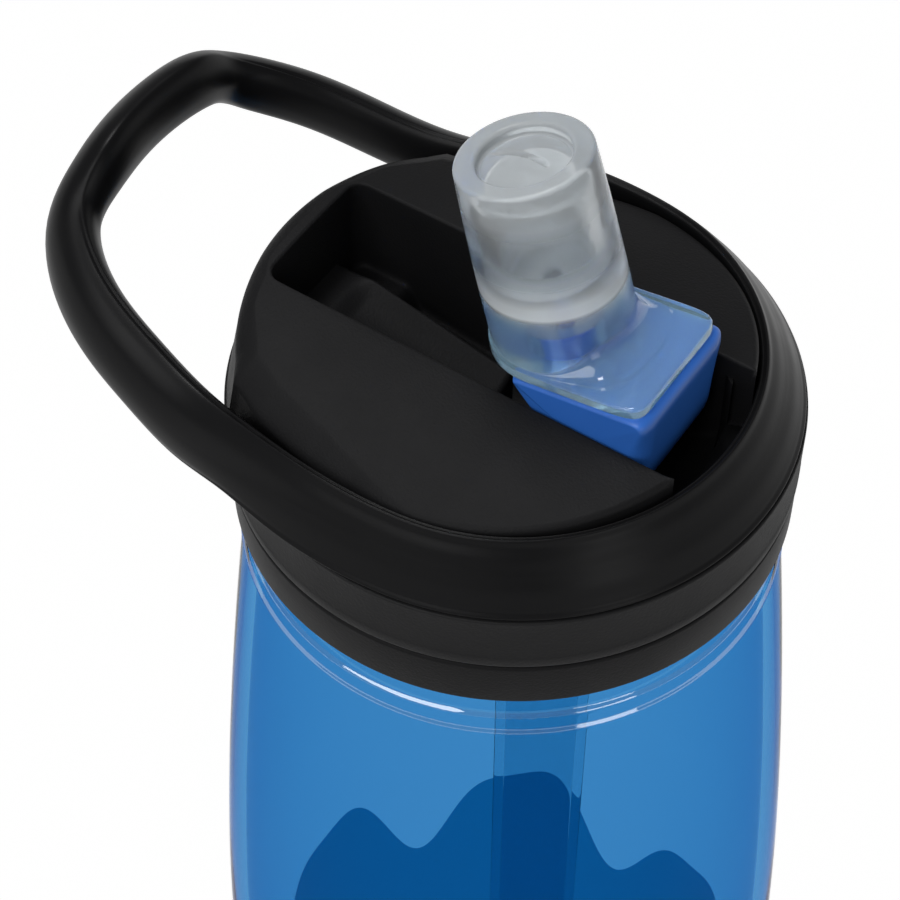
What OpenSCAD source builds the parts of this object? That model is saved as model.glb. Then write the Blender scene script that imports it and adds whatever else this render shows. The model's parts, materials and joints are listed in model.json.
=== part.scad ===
// Drinking bottle with a screw cap, a carrying loop and a fold-down bite-valve spout.
// Origin: centre of the base. +Z up, +X towards the spout hinge, loop towards -X. Millimetres.

/* [Bottle] */
// Height of the body from the base to the lower edge of the cap
body_h = 212; // [180:1:240]
// Largest outer radius of the body
body_r = 37; // [34:0.5:42]
// Height at which the body is widest
belly_z = 117; // [90:1:140]
// Outer radius of the body just under the cap
shoulder_r = 29; // [28:0.1:32]
// Radius of the rounded edge under the cap
shoulder_round = 3.2; // [2.6:0.1:4]
// Gap between the shoulder and the lower edge of the cap
shoulder_gap = 0.5; // [0.3:0.1:1.5]
// Outer radius of the body at the base
foot_r = 35; // [32:0.5:37]
// Radius of the rounded lower edge
foot_round = 5; // [3.5:0.5:8]
// Wall thickness of the body
body_wall = 2.2; // [1.6:0.1:2.5]
// Thickness of the base
base_wall = 3; // [2:0.1:5]
// Outer radius of the neck
neck_r = 25.6; // [24.8:0.1:26]
// Wall thickness of the neck
neck_wall = 2.4; // [1.8:0.1:2.4]
// Height of the neck's lip above the lower edge of the cap
neck_rise = 7.6; // [7.6:0.1:8.4]

/* [Screw thread] */
// Rise of the thread in one turn
thread_pitch = 4; // [3.6:0.1:5]
// Height of the thread ridges
thread_depth = 1.1; // [0.8:0.05:1.2]
// Radial play between a ridge and the wall that faces it
thread_play = 0.35; // [0.3:0.05:0.5]
// Width of a ridge at its foot
ridge_foot = 1.6; // [1.2:0.1:1.6]
// Width of a ridge at its crest
ridge_crest = 0.8; // [0.5:0.1:1]
// Height of the neck's ridge at its lower end
neck_ridge_z = 1.9; // [1.6:0.1:2.2]
// Turns of the neck's ridge
neck_turns = 1.2; // [0.8:0.1:1.2]
// Turns of the cap's ridge
cap_turns = 0.85; // [0.5:0.05:0.85]
// Angle at which the cap's ridge starts
cap_ridge_start = 140; // [130:5:180]

/* [Cap] */
// Wall of the cap between the thread and the band
cap_wall = 1.45; // [1.2:0.05:2]
// Step from the band in to the lower skirt
skirt_step = 0.1; // [0:0.05:0.4]
// Height of the lower skirt
skirt_h = 6.1; // [5:0.1:7]
// Bevel on the edges of the skirt and the band
edge_bevel = 0.4; // [0.2:0.1:0.6]
// Radial thickness of the band
band_t = 2; // [1.4:0.1:2.2]
// Top of the band above the lower edge of the cap
band_top = 14; // [13:0.1:15]
// Width of the shadow groove under the band
groove = 0.25; // [0.1:0.05:0.6]
// Radial play of the band on the cap
band_play = 0.1; // [0.05:0.05:0.3]
// Gap between the handle's ring and the drum that it runs around
ring_play = 0.45; // [0.35:0.05:1]
// Height of the deck along its middle, above the lower edge of the cap
deck_h = 23.4; // [22.8:0.1:24.5]
// Radius of the deck's crown across the slot
crown_r = 92; // [80:1:140]
// Wall thickness of the cap's deck
deck_wall = 2.4; // [1.8:0.1:2.6]
// Wall of the drum around the hollow under the deck
drum_wall = 2; // [1.8:0.1:2.6]
// Step from the band in to the shoulder that shows between the handle's arms
shelf_step = 0.3; // [0:0.1:0.8]
// Draw-in of that shoulder's side towards the deck
shelf_lean = 0.9; // [0.5:0.1:1.2]
// Radius of that shoulder's rounded edge
shelf_round = 3.2; // [2.6:0.1:3.4]
// Gap between that shoulder and the handle's arms
shelf_play = 0.65; // [0.6:0.05:2]
// Thickness of the sealing ring on the neck's lip
gasket_t = 1.3; // [1:0.1:1.6]
// Play above and below the sealing ring
gasket_play = 0.05; // [0.02:0.01:0.1]
// Radial overhang of the sealing ring on each side of the lip
gasket_lap = 0.3; // [0.1:0.1:0.5]

/* [Slot in the deck] */
// Width of the slot
slot_w = 16.4; // [16.4:0.1:17]
// Width of the land between the slot's closed end and the cap's edge
slot_land = 4.5; // [4.2:0.1:5.5]
// Height of the slot's deepest floor above the lower edge of the cap
floor_z = 5.4; // [5:0.1:5.6]
// Distance behind the axis at which the floor starts to rise
floor_x = 4; // [2:0.1:6]
// Height of the floor at the foot of the steep end
ramp_z = 7.6; // [7.2:0.1:7.8]
// Distance from the axis to the foot of the steep end
ramp_x = 17.5; // [17.2:0.1:17.7]
// Run of the steep end
ramp_run = 1.6; // [1:0.1:1.8]
// Thickness of the slot's walls and floor
slot_wall = 2; // [1.6:0.1:2.2]
// Thickness of the slot's floor above the neck's lip
lip_floor = 1.4; // [1.2:0.1:1.6]
// Half width of the raised bed along the slot
bed_half = 6; // [5:0.1:6.8]
// Height of the bed over the floor at the closed end
bed_rise = 1.6; // [1:0.1:1.8]
// Distance behind the axis at which the bed ends
bed_x = 7; // [6.8:0.1:8]
// Room between the bed and the folded mouthpiece
bed_play = 0.4; // [0.3:0.05:0.8]
// Room around the barrel under the spout's nose
cradle_room = 4.2; // [3.8:0.1:4.4]

/* [Handle] */
// Distance of the ring's middle line in from the band's face
ring_inset = 2.7; // [2.4:0.1:2.8]
// Height of the ring's middle line above the lower edge of the cap
ring_z = 18.1; // [17.9:0.1:18.6]
// Width of the ring and of the loop's bar
bar_w = 6.1; // [5:0.1:6.2]
// Height of the bar above its middle line
bar_up = 3.85; // [3:0.05:4.5]
// Height of the ring's crest above its middle line
ring_up = 2.8; // [2.4:0.05:3.2]
// Depth of the bar below its middle line
bar_down = 3.85; // [3:0.05:3.85]
// Extra height of the ring's crest at the spout end
crest_rise = 0.5; // [0:0.1:1]
// Distance behind the axis at which the arms leave the ring
arm_root = 9; // [6:0.5:11]
// Reach of the loop's middle line from the cap's axis
loop_reach = 48.3; // [44:0.1:60]
// Inward bow of the loop's outer bar
loop_bow = 1; // [0:0.1:2]
// Half width of the loop at its outer corners
loop_half = 14.1; // [12:0.1:17]
// Half width between the arms half way along the loop
arm_half = 19.6; // [18:0.1:21]
// Half width between the arms where they leave the cap
root_half = 23.5; // [23.2:0.1:24.5]
// Drop of the arms where they leave the cap
arm_drop = 3.2; // [0:0.1:3.6]
// Rise of the loop's outer bar over the ring
loop_rise = 9.1; // [4:0.1:14]
// Room between the band and the arms that drop past it
arm_play = 0.3; // [0.2:0.05:0.5]

/* [Spout] */
// Distance of the spout's hinge from the cap's axis
hinge_x = 13; // [12.6:0.1:13.4]
// Height of the hinge above the lower edge of the cap
hinge_z = 18.7; // [18.3:0.1:19]
// Backward tilt of the raised spout
spout_tilt = 9; // [6:0.5:10]
// Radius of the spout's barrel around the hinge
barrel_r = 6.3; // [5.8:0.1:6.5]
// Side play of the spout in the slot
spout_play = 0.3; // [0.25:0.05:0.6]
// Height of the spout's flat top above the hinge
seat_v = 8.2; // [7:0.1:8.6]
// Reach of the spout's nose in front of the hinge
nose_u = 7.8; // [7.2:0.1:8.2]
// Radius of the nose's upper edge
nose_round = 1.2; // [0.6:0.1:2]
// Reach of the spout's heel behind the hinge
heel_u = 9.2; // [9:0.1:9.6]
// Radius of the heel's upper edge
heel_round = 0.6; // [0.4:0.1:0.8]
// Angle on the barrel at which the heel's underside meets it
heel_turn = 150; // [148:1:160]
// Angle through which the spout folds down into the slot
fold = 64; // [50:1:64]
// Radius of the hinge pins
pin_r = 2; // [1.5:0.1:2.2]
// Running clearance of the hinge pins
pin_play = 0.05; // [0.02:0.01:0.08]
// Distance of a pin's inner end from the middle plane
pin_in = 4.6; // [4:0.1:5]
// Radius of the drinking passage in the spout
duct_r = 1.6; // [1.2:0.1:1.7]
// Radius of the nozzle under the bite valve
nozzle_r = 2.8; // [2.6:0.1:3]
// Height of the nozzle
nozzle_h = 2.6; // [1.5:0.1:4]

/* [Bite valve] */
// Length of the mouthpiece above the flat plate
mouth_h = 21.2; // [16:0.1:21.6]
// Loss of the mouthpiece's radius from its foot to its rim
mouth_taper = 0.55; // [0.2:0.05:0.8]
// Backward lean of the mouthpiece on the plate
mouth_lean = 6; // [4:0.5:7]
// Distance of the mouthpiece's foot behind the hinge
mouth_u = 6; // [5.8:0.1:6.2]
// Thickness of the plate that covers the spout
plate_t = 1.2; // [0.8:0.1:1.3]
// Step from the spout's side in to the plate
plate_step = 0.05; // [0:0.05:0.2]
// Margin of the plate around the mouthpiece's foot
plate_lip = 0.35; // [0.3:0.05:0.8]
// Reach of the plate in front of the hinge
plate_u = 7.1; // [6:0.1:7.5]
// Corner radius of the plate
plate_round = 1.6; // [1:0.1:3]
// Depth of the recess inside the mouthpiece's rim
recess = 1.2; // [0.6:0.1:2]
// Wall of the mouthpiece around its chamber and its recess
mouth_wall = 2.6; // [2:0.1:3]
// Thickness of the slit membrane
membrane_t = 2.3; // [1.6:0.1:3]
// Height of the chamber's floor above the spout's flat top
chamber_z = 4.8; // [3.5:0.1:6]
// Length of the slit
slit_l = 5.6; // [3:0.1:7]
// Width of the slit
slit_w = 0.3; // [0.2:0.05:0.5]
// Play between the nozzle and the bite valve
valve_play = 0.05; // [0.02:0.01:0.2]

/* [Straw and inner pieces] */
// Distance of the straw from the cap's axis
straw_x = 5.2; // [4:0.1:7]
// Outer radius of the straw
straw_r = 5.7; // [5.2:0.1:6]
// Wall thickness of the straw
straw_wall = 1.3; // [0.8:0.1:1.4]
// Gap between the straw's lower end and the inside of the base
straw_gap = 5; // [2:0.5:15]
// Length of the socket that the straw pushes onto
spigot_l = 10; // [6:0.5:16]
// Play of the straw on its socket
straw_play = 0.05; // [0.02:0.01:0.1]
// Radius of the passage from the straw to the port
passage_r = 2.4; // [1.8:0.1:2.6]
// Outer radius of the seal under the barrel
seal_r = 3.1; // [2.9:0.1:3.2]
// Depth of the seal's seat below the barrel
seal_drop = 0.8; // [0.7:0.1:1.2]
// Play around the seal in its seat
seat_play = 0.1; // [0.05:0.05:0.2]
// Gap between the seal and the barrel
seal_gap = 0.3; // [0.1:0.05:0.4]
// Distance of the air valve behind the cap's axis
vent_x = 5; // [4.8:0.1:5.2]
// Radius of the air hole
vent_r = 1.6; // [1.2:0.1:2]
// Radius of the air valve's flange
vent_flange_r = 3.4; // [2.8:0.1:4]

/* [Hidden] */
$fn = 96;
far = 200;
cap_z = body_h;
lip_z = cap_z + neck_rise;
neck_in = neck_r - neck_wall;
shoulder_z = body_h - shoulder_gap;
cap_in_r = neck_r + thread_depth + thread_play;
ceiling_z = neck_rise + gasket_t + 2 * gasket_play;
core_r = cap_in_r + cap_wall;
band_r = core_r + band_play + band_t;
skirt_r = band_r - skirt_step;
ring_r = band_r - ring_inset;
drum_r = ring_r - bar_w / 2 - ring_play;
hollow_r = drum_r - drum_wall;
shelf_r = band_r - shelf_step;
slot_end = shelf_r - slot_land;
hollow_top = deck_h - deck_wall - crown_r + sqrt(crown_r * crown_r - hollow_r * hollow_r);
slot_half = slot_w / 2;
spout_half = slot_half - spout_play;
spout_w = 2 * spout_half;
hinge = [hinge_x, 0, cap_z + hinge_z];
pin_out = slot_half + slot_wall;
seal_z = hinge_z - barrel_r - seal_drop;
bore_r = nozzle_r + valve_play;
plate_half = spout_half - plate_step;
mouth_foot_r = plate_half - plate_lip;
mouth_top = plate_t + mouth_h;
channel_z = ceiling_z + lip_floor;
manifold_top = floor_z - slot_wall;
manifold_h = 2 * passage_r + 2;
manifold_half = passage_r + slot_wall;
manifold_z = manifold_top - manifold_h;
passage_z = manifold_z + manifold_h / 2;
spigot_r = straw_r - straw_wall - straw_play;
vent_boss_z = manifold_top - 1;

bottle_blue = [0.22, 0.52, 0.78, 0.45];
cap_black = [0.09, 0.09, 0.095];
band_black = [0.14, 0.14, 0.145];
spout_blue = [0.14, 0.33, 0.64];
clear_silicone = [0.8, 0.82, 0.83, 0.6];
seal_grey = [0.6, 0.62, 0.63];
straw_clear = [0.55, 0.68, 0.78, 0.6];

// Outer radius of the body at height z: a slow curve out from the cap, then a slight draw-in to the base
function body_radius(z) = z > belly_z
    ? body_r - (body_r - shoulder_r) * pow((z - belly_z) / (body_h - belly_z), 1.5)
    : body_r - (body_r - foot_r) * pow((belly_z - z) / belly_z, 2);

// Points on an arc in the profile plane
function arc(centre, r, from, to, steps = 6) = [for (i = [0:steps])
    centre + r * [cos(from + (to - from) * i / steps), sin(from + (to - from) * i / steps)]];

// The body's curved side between two heights, inset by a wall
function side(low, high, inset, steps = 24) = [for (i = [1:steps - 1])
    let(z = low + (high - low) * i / steps) [body_radius(z) - inset, z]];

function reversed(list) = [for (i = [len(list) - 1:-1:0]) list[i]];

// Triangles that join rings of equal point count into a tube; a closed tube joins its last ring to its first
function tube_faces(rings, sides, closed) =
    [for (i = [0:rings - (closed ? 1 : 2)], j = [0:sides - 1], k = [0, 1])
    let(a = i * sides + j, b = i * sides + (j + 1) % sides)
    let(c = ((i + 1) % rings) * sides + j, d = ((i + 1) % rings) * sides + (j + 1) % sides)
    k == 0 ? [a, b, c] : [b, d, c]];

function fan_faces(first, sides, flip) = [for (j = [1:sides - 2])
    flip ? [first, first + j + 1, first + j] : [first, first + j, first + j + 1]];

// A screw-thread ridge from a foot radius to a crest radius, fading in and out at its ends
module ridge(foot, crest, z, start, turns) {
    steps = round(48 * turns);
    fade = 5;
    inward = crest < foot;
    function height(i) = min(1, min(i, steps - i) / fade);
    function section(r) = [[foot, -ridge_foot / 2], [r, -ridge_crest / 2],
        [r, ridge_crest / 2], [foot, ridge_foot / 2]];
    function shallow() = foot + (crest - foot) * 0.3;
    rings = [for (i = [0:steps])
        let(turn = start + 360 * turns * i / steps)
        let(tip = shallow() + (crest - shallow()) * height(i))
        let(rise = z + thread_pitch * (turn - start) / 360)
        [for (p = inward ? reversed(section(tip)) : section(tip))
            [p.x * cos(turn), p.x * sin(turn), rise + p.y]]];
    polyhedron([for (ring = rings, p = ring) p],
        concat(fan_faces(0, 4, true), tube_faces(steps + 1, 4, false), fan_faces(4 * steps, 4, false)));
}

module bottle_body() {
    foot_in = foot_round - body_wall;
    foot_c = body_radius(foot_round) - foot_round;
    foot_top = base_wall + foot_in;
    foot_in_c = body_radius(foot_top) - body_wall - foot_in;
    edge_z = shoulder_z - shoulder_round;
    edge_c = body_radius(edge_z) - shoulder_round;
    outside = concat([[0, 0]], arc([foot_c, foot_round], foot_round, -90, 0),
        side(foot_round, edge_z, 0), arc([edge_c, edge_z], shoulder_round, 0, 90));
    inside = concat([[0, base_wall]], arc([foot_in_c, foot_top], foot_in, -90, 0),
        side(foot_top, edge_z, body_wall), arc([edge_c, edge_z], shoulder_round - body_wall, 0, 90));
    lip = [[neck_r, shoulder_z], [neck_r, lip_z], [neck_in, lip_z], [neck_in, shoulder_z - body_wall]];
    sunk = 0.4;
    color(bottle_blue) {
        rotate_extrude() polygon(concat(outside, lip, reversed(inside)));
        ridge(neck_r - sunk, neck_r + thread_depth, cap_z + neck_ridge_z, 0, neck_turns);
    }
}

// Plan of the shoulder between the handle's arms, which keeps its distance from their inner sides
function shelf_side(s) = [for (i = [4 * path_steps:10 * path_steps])
    let(p = loop_path[i], in = loop_out(i) * (bar_w / 2 + shelf_play))
    [p[0] - in.x, s * (p[1] - in.y)]];

// The cap's outer form: skirt, core behind the band, drum inside the ring and shoulder between the arms
module cap_outside() {
    rotate_extrude() polygon([[0, cap_z], [skirt_r - edge_bevel, cap_z], [skirt_r, cap_z + edge_bevel],
        [skirt_r, cap_z + skirt_h], [core_r, cap_z + skirt_h], [core_r, cap_z + band_top],
        [drum_r, cap_z + band_top], [drum_r, cap_z + deck_h], [0, cap_z + deck_h]]);
    intersection() {
        rotate_extrude() polygon(concat([[0, cap_z + band_top - 1], [core_r, cap_z + band_top - 1],
            [core_r, cap_z + band_top], [shelf_r, cap_z + band_top]],
            arc([shelf_r - shelf_lean - shelf_round, cap_z + deck_h - shelf_round], shelf_round, 0, 90),
            [[0, cap_z + deck_h]]));
        translate([0, 0, cap_z]) linear_extrude(far) polygon(concat(shelf_side(1), reversed(shelf_side(-1))));
    }
}

// Place in the cap's side view of a point on the folded mouthpiece,
// given by its height along the mouthpiece's axis and its distance in front of that axis
function folded(h, w) =
    let(u = -mouth_u - h * sin(mouth_lean) + w * cos(mouth_lean))
    let(v = seat_v + h * cos(mouth_lean) + w * sin(mouth_lean))
    let(turn = spout_tilt + fold)
    [hinge_x + u * cos(turn) - v * sin(turn), hinge_z + u * sin(turn) + v * cos(turn)];

// A solid with a side view in the cap's own plane, spread evenly to both sides of the middle
module across(width) {
    translate([0, width / 2, cap_z]) rotate([90, 0, 0]) linear_extrude(width) children();
}

// Raised bed along the slot, on which the folded mouthpiece lies
module bed() {
    foot = folded(plate_t, -mouth_radius(plate_t));
    tip = folded(mouth_top, -mouth_radius(mouth_top));
    end_z = foot.y + (tip.y - foot.y) * (foot.x + bed_x) / (foot.x - tip.x) - bed_play;
    across(2 * bed_half)
        polygon([[-slot_end - 1, 0], [-slot_end - 1, channel_z + bed_rise], [-slot_end, channel_z + bed_rise],
            [-bed_x, end_z], [-bed_x, 0]]);
}

// Side view of the slot: floor, climb to the closed end, seat of the seal and the cradle under the nose
module slot_hollow() {
    tower = seal_r + seat_play;
    cradle = barrel_r + cradle_room;
    ledge = band_top + groove;
    difference() {
        across(slot_w)
            polygon(concat([[-slot_end, far], [-slot_end, channel_z], [-ramp_x - ramp_run, channel_z],
                [-ramp_x, ramp_z], [-floor_x, floor_z], [hinge_x - tower, floor_z], [hinge_x - tower, seal_z],
                [hinge_x + tower, seal_z]],
                arc([hinge_x, hinge_z], cradle, -acos(tower / cradle), -asin((hinge_z - ledge) / cradle), 5),
                [[skirt_r, ledge], [skirt_r, far]]));
        bed();
    }
}

// The solid that encloses the slot under the deck
module slot_box() {
    end = ramp_x + slot_wall;
    roof = deck_h - deck_wall;
    ledge = ceiling_z + 0.2;
    across(2 * (slot_half + slot_wall))
        polygon([[-hollow_r, roof], [-hollow_r, ledge], [-end, ledge], [-end, ramp_z - slot_wall],
            [-floor_x, manifold_top], [hinge_x + manifold_half, manifold_top], [end, ramp_z - slot_wall],
            [end, ledge], [hollow_r, ledge], [hollow_r, roof]]);
}

// Flow block under the slot, the socket for the straw and the boss of the air valve
module underside() {
    left = straw_x - straw_r;
    right = hinge_x + passage_r + slot_wall;
    translate([left, -manifold_half, cap_z + manifold_z])
        cube([right - left, 2 * manifold_half, manifold_h + 1]);
    translate([straw_x, 0, cap_z + manifold_z - spigot_l]) cylinder(r = spigot_r, h = spigot_l + 1);
    translate([-vent_x, 0, cap_z + vent_boss_z]) cylinder(r = vent_flange_r + 0.6, h = slot_wall + 1.5);
}

// Passages: up from the straw, across to the hinge and up through the seal's seat
module passages() {
    translate([straw_x, 0, cap_z + manifold_z - spigot_l - 1])
        cylinder(r = passage_r, h = spigot_l + 1 + manifold_h / 2);
    translate([straw_x, 0, cap_z + passage_z]) rotate([0, 90, 0])
        cylinder(r = passage_r, h = hinge_x - straw_x);
    translate([hinge_x, 0, cap_z + passage_z]) cylinder(r = passage_r, h = far);
    translate([-vent_x, 0, cap_z + vent_boss_z - 1]) cylinder(r = vent_r, h = far);
}

module cap_body() {
    sunk = 0.4;
    color(cap_black) {
        difference() {
            intersection() {
                union() {
                    difference() {
                        cap_outside();
                        translate([0, 0, cap_z - 1]) cylinder(r = cap_in_r, h = ceiling_z + 1);
                        translate([0, 0, cap_z]) cylinder(r = hollow_r, h = hollow_top);
                    }
                    slot_box();
                    underside();
                }
                translate([0, 0, cap_z + deck_h - crown_r]) rotate([0, 90, 0])
                    cylinder(r = crown_r, h = 2 * far, center = true);
            }
            slot_hollow();
            passages();
            translate([hinge.x, 0, hinge.z]) rotate([90, 0, 0])
                cylinder(r = pin_r + pin_play / 2, h = 2 * pin_out, center = true);
        }
        ridge(cap_in_r + sunk, cap_in_r - thread_depth,
            cap_z + neck_ridge_z + thread_pitch * (cap_ridge_start / 360 - 0.5), cap_ridge_start, cap_turns);
    }
}

module grip_band() {
    low = cap_z + skirt_h + groove;
    high = cap_z + band_top;
    inner = band_r - band_t;
    color(band_black) rotate_extrude() polygon([[inner, low], [band_r - edge_bevel, low],
        [band_r, low + edge_bevel], [band_r, high], [inner, high]]);
}

// One corner of the loop's guide polygon: place, height above and depth below the middle line,
// and the share of the bar's section in the section, the rest being the ring's
function ring_corner(turn) = let(r = ring_r * 3 / (2 + cos(15)))
    [r * cos(turn), -r * sin(turn), ring_z, ring_up + crest_rise * pow(cos(turn), 2),
        ring_z - band_top - groove, 0];

// Stations along the arms, evenly spaced from the ring to the loop's outer bar
function arm_x(station) = -arm_root - (loop_reach - arm_root) * station / 5;

// Guide corners of the near half, from the spout end round to the outer bar
near_corners = concat([for (turn = [15:15:90]) ring_corner(turn)], [
    [arm_x(0), -ring_r, ring_z, ring_up, ring_z - band_top - groove, 0.1],
    [arm_x(1), -(ring_r + root_half) / 2, ring_z - arm_drop / 2, (ring_up + bar_up) / 2,
        ring_z - arm_drop / 2 - band_top - groove, 0.5],
    [arm_x(2), -root_half, ring_z - arm_drop, bar_up, bar_down, 0.9],
    [arm_x(3), -(root_half + arm_half) / 2, ring_z - arm_drop / 3, bar_up, bar_down, 1],
    [arm_x(4), -arm_half, ring_z + loop_rise / 7, bar_up, bar_down, 1],
    [arm_x(5), -loop_half, ring_z + loop_rise / 2, bar_up, bar_down, 1],
    [loop_bow - loop_reach, -loop_half * 0.6, ring_z + loop_rise, bar_up, bar_down, 1],
    [-loop_reach, -loop_half * 0.2, ring_z + loop_rise, bar_up, bar_down, 1]]);
corners = concat([ring_corner(0)], near_corners,
    [for (p = reversed(near_corners)) [p[0], -p[1], p[2], p[3], p[4], p[5]]]);

// Uniform cubic B-spline through the guide polygon, closed on itself
function guide(i, t) = let(n = len(corners))
    (pow(1 - t, 3) * corners[(i + n - 1) % n] + (3 * pow(t, 3) - 6 * t * t + 4) * corners[i]
        + (1 + 3 * t + 3 * t * t - 3 * pow(t, 3)) * corners[(i + 1) % n]
        + pow(t, 3) * corners[(i + 2) % n]) / 6;

// Points along the loop's middle line, and the level direction that leads out of the loop at one of them
path_steps = 4;
loop_path = [for (i = [0:len(corners) - 1], k = [0:path_steps - 1]) guide(i, k / path_steps)];
function loop_out(i) = let(count = len(loop_path))
    let(ahead = loop_path[(i + 1) % count], behind = loop_path[(i + count - 1) % count])
    let(run = [ahead[0] - behind[0], ahead[1] - behind[1]])
    [run.y, -run.x] * (-1 / norm(run));

// The ring's section: a crest inside and a straight slope out to the lip, in shares of its width and height
ring_section = [[-0.36, 1], [-0.28, 0.76], [-0.155, 0.45], [-0.01, 0.02], [0.148, -0.34], [0.262, -0.65],
    [0.328, -0.83], [0.377, -1], [0, -1], [-0.377, -1], [-0.48, -0.8], [-0.5, -0.42], [-0.5, 0.14],
    [-0.497, 0.65], [-0.46, 0.93]];

// The bar's section, point for point: a rounded bar with its crest inside and its lip outside
bar_section = [[-0.21, 1], [0.05, 0.94], [0.26, 0.7], [0.4, 0.33], [0.48, -0.1], [0.5, -0.55],
    [0.48, -0.85], [0.4, -1], [0, -1], [-0.22, -0.93], [-0.4, -0.66], [-0.48, -0.2], [-0.49, 0.2],
    [-0.44, 0.62], [-0.34, 0.88]];

module handle_ring() {
    count = len(loop_path);
    rings = [for (i = [0:count - 1])
        let(p = loop_path[i], out = loop_out(i))
        [for (s = ring_section * (1 - p[5]) + bar_section * p[5])
            let(o = s.x * bar_w, u = s.y * (s.y > 0 ? p[3] : p[4]))
            [p[0] + out.x * o, p[1] + out.y * o, cap_z + p[2] + u]]];
    color(cap_black) difference() {
        polyhedron([for (ring = rings, p = ring) p], tube_faces(count, len(bar_section), true));
        translate([0, 0, cap_z]) cylinder(r = band_r + arm_play, h = band_top + groove / 2);
    }
}

module cap_gasket() {
    color(seal_grey) translate([0, 0, lip_z + gasket_play]) difference() {
        cylinder(r = neck_r + gasket_lap, h = gasket_t);
        translate([0, 0, -1]) cylinder(r = neck_in - gasket_lap, h = gasket_t + 2);
    }
}

// Air valve: stem in the hole, flange under the boss and a closed bill below
module vent_valve() {
    flange_t = 0.8;
    bill_l = 3.2;
    stem_l = 2.6;
    stem_r = vent_r - 0.05;
    color(seal_grey) translate([-vent_x, 0, cap_z + vent_boss_z])
        rotate_extrude() polygon([[0, -flange_t - bill_l], [0.6, -flange_t - bill_l],
            [stem_r + 0.5, -flange_t], [vent_flange_r, -flange_t], [vent_flange_r, 0],
            [stem_r, 0], [stem_r, stem_l], [0, stem_l]]);
}

// Ring seal in the port, cut to the curve of the barrel above it
module port_seal() {
    color(seal_grey) difference() {
        translate([hinge_x, 0, cap_z + seal_z]) cylinder(r = seal_r, h = hinge_z - seal_z);
        translate([hinge_x, 0, cap_z + seal_z - 1]) cylinder(r = passage_r, h = far);
        translate(hinge) rotate([90, 0, 0]) cylinder(r = barrel_r + seal_gap, h = far, center = true);
    }
}

module straw() {
    top = cap_z + manifold_z - straw_play;
    low = base_wall + straw_gap;
    color(straw_clear) translate([straw_x, 0, low]) difference() {
        cylinder(r = straw_r, h = top - low);
        translate([0, 0, -1]) cylinder(r = straw_r - straw_wall, h = top - low + 2);
    }
}

// Moves a shape from the spout's own frame, origin on the hinge line, to its raised place
module raised() {
    translate(hinge) rotate([0, -spout_tilt, 0]) children();
}

// Along the mouthpiece's axis, from its foot on the spout's flat top
module mouth_axis() {
    translate([-mouth_u, 0, seat_v]) rotate([0, -mouth_lean, 0]) children();
}

// Outer radius of the mouthpiece at a height along its axis
function mouth_radius(h) = mouth_foot_r - mouth_taper * h / mouth_top;

module spout_body() {
    duct_turn = atan2(mouth_u, seat_v);
    front = acos(barrel_r / norm([nose_u, seat_v])) - atan2(seat_v, nose_u);
    color(spout_blue) raised() difference() {
        union() {
            rotate([90, 0, 0]) cylinder(r = barrel_r, h = spout_w, center = true);
            translate([0, spout_half, 0]) rotate([90, 0, 0]) linear_extrude(spout_w)
                polygon(concat([[0, 0], barrel_r * [cos(front), -sin(front)]],
                    arc([nose_u - nose_round, seat_v - nose_round], nose_round, -front, 90),
                    arc([heel_round - heel_u, seat_v - heel_round], heel_round, 90, 180, 3),
                    [barrel_r * [cos(heel_turn), sin(heel_turn)]]));
            mouth_axis() translate([0, 0, -1]) cylinder(r = nozzle_r, h = nozzle_h + 1);
        }
        rotate([0, 180 + spout_tilt, 0]) cylinder(r = duct_r, h = far);
        rotate([0, -duct_turn, 0]) cylinder(r = duct_r, h = norm([mouth_u, seat_v]));
        mouth_axis() translate([0, 0, -duct_r]) cylinder(r = duct_r, h = far);
        for (s = [-1, 1]) scale([1, s, 1]) translate([0, pin_in - 0.2, 0]) rotate([-90, 0, 0])
            cylinder(r = pin_r + pin_play, h = far);
    }
}

module bite_valve() {
    sunk = 2;
    membrane_z = mouth_top - recess - membrane_t;
    color(clear_silicone) raised() difference() {
        union() {
            translate([0, 0, seat_v]) linear_extrude(plate_t) {
                translate([-mouth_u, 0]) circle(r = plate_half);
                translate([-mouth_u, -plate_half]) square([plate_u + mouth_u - plate_round, 2 * plate_half]);
                translate([-mouth_u, plate_round - plate_half])
                    square([plate_u + mouth_u, 2 * (plate_half - plate_round)]);
                for (s = [-1, 1]) translate([plate_u - plate_round, s * (plate_half - plate_round)])
                    circle(r = plate_round);
            }
            intersection() {
                mouth_axis() translate([0, 0, -sunk])
                    cylinder(r1 = mouth_radius(-sunk), r2 = mouth_radius(mouth_top), h = mouth_top + sunk);
                translate([-far / 2, -far / 2, seat_v]) cube(far);
            }
        }
        mouth_axis() {
            translate([0, 0, -sunk]) cylinder(r = bore_r, h = chamber_z + sunk + 1);
            translate([0, 0, chamber_z]) cylinder(r1 = mouth_radius(chamber_z) - mouth_wall,
                r2 = mouth_radius(membrane_z) - mouth_wall, h = membrane_z - chamber_z);
            translate([0, 0, mouth_top - recess])
                cylinder(r = mouth_radius(mouth_top) - mouth_wall, h = recess + 1);
            translate([-slit_l / 2, -slit_w / 2, membrane_z - 1]) cube([slit_l, slit_w, far]);
        }
    }
}

// Two stub pins, fixed in the slot's walls, on which the spout turns
module spout_pins() {
    color(seal_grey) for (s = [-1, 1]) scale([1, s, 1]) translate(hinge) translate([0, pin_in, 0])
        rotate([-90, 0, 0]) cylinder(r = pin_r, h = pin_out - pin_in);
}

bottle_body();
cap_body();
grip_band();
handle_ring();
cap_gasket();
vent_valve();
port_seal();
straw();
spout_body();
bite_valve();
spout_pins();
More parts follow.
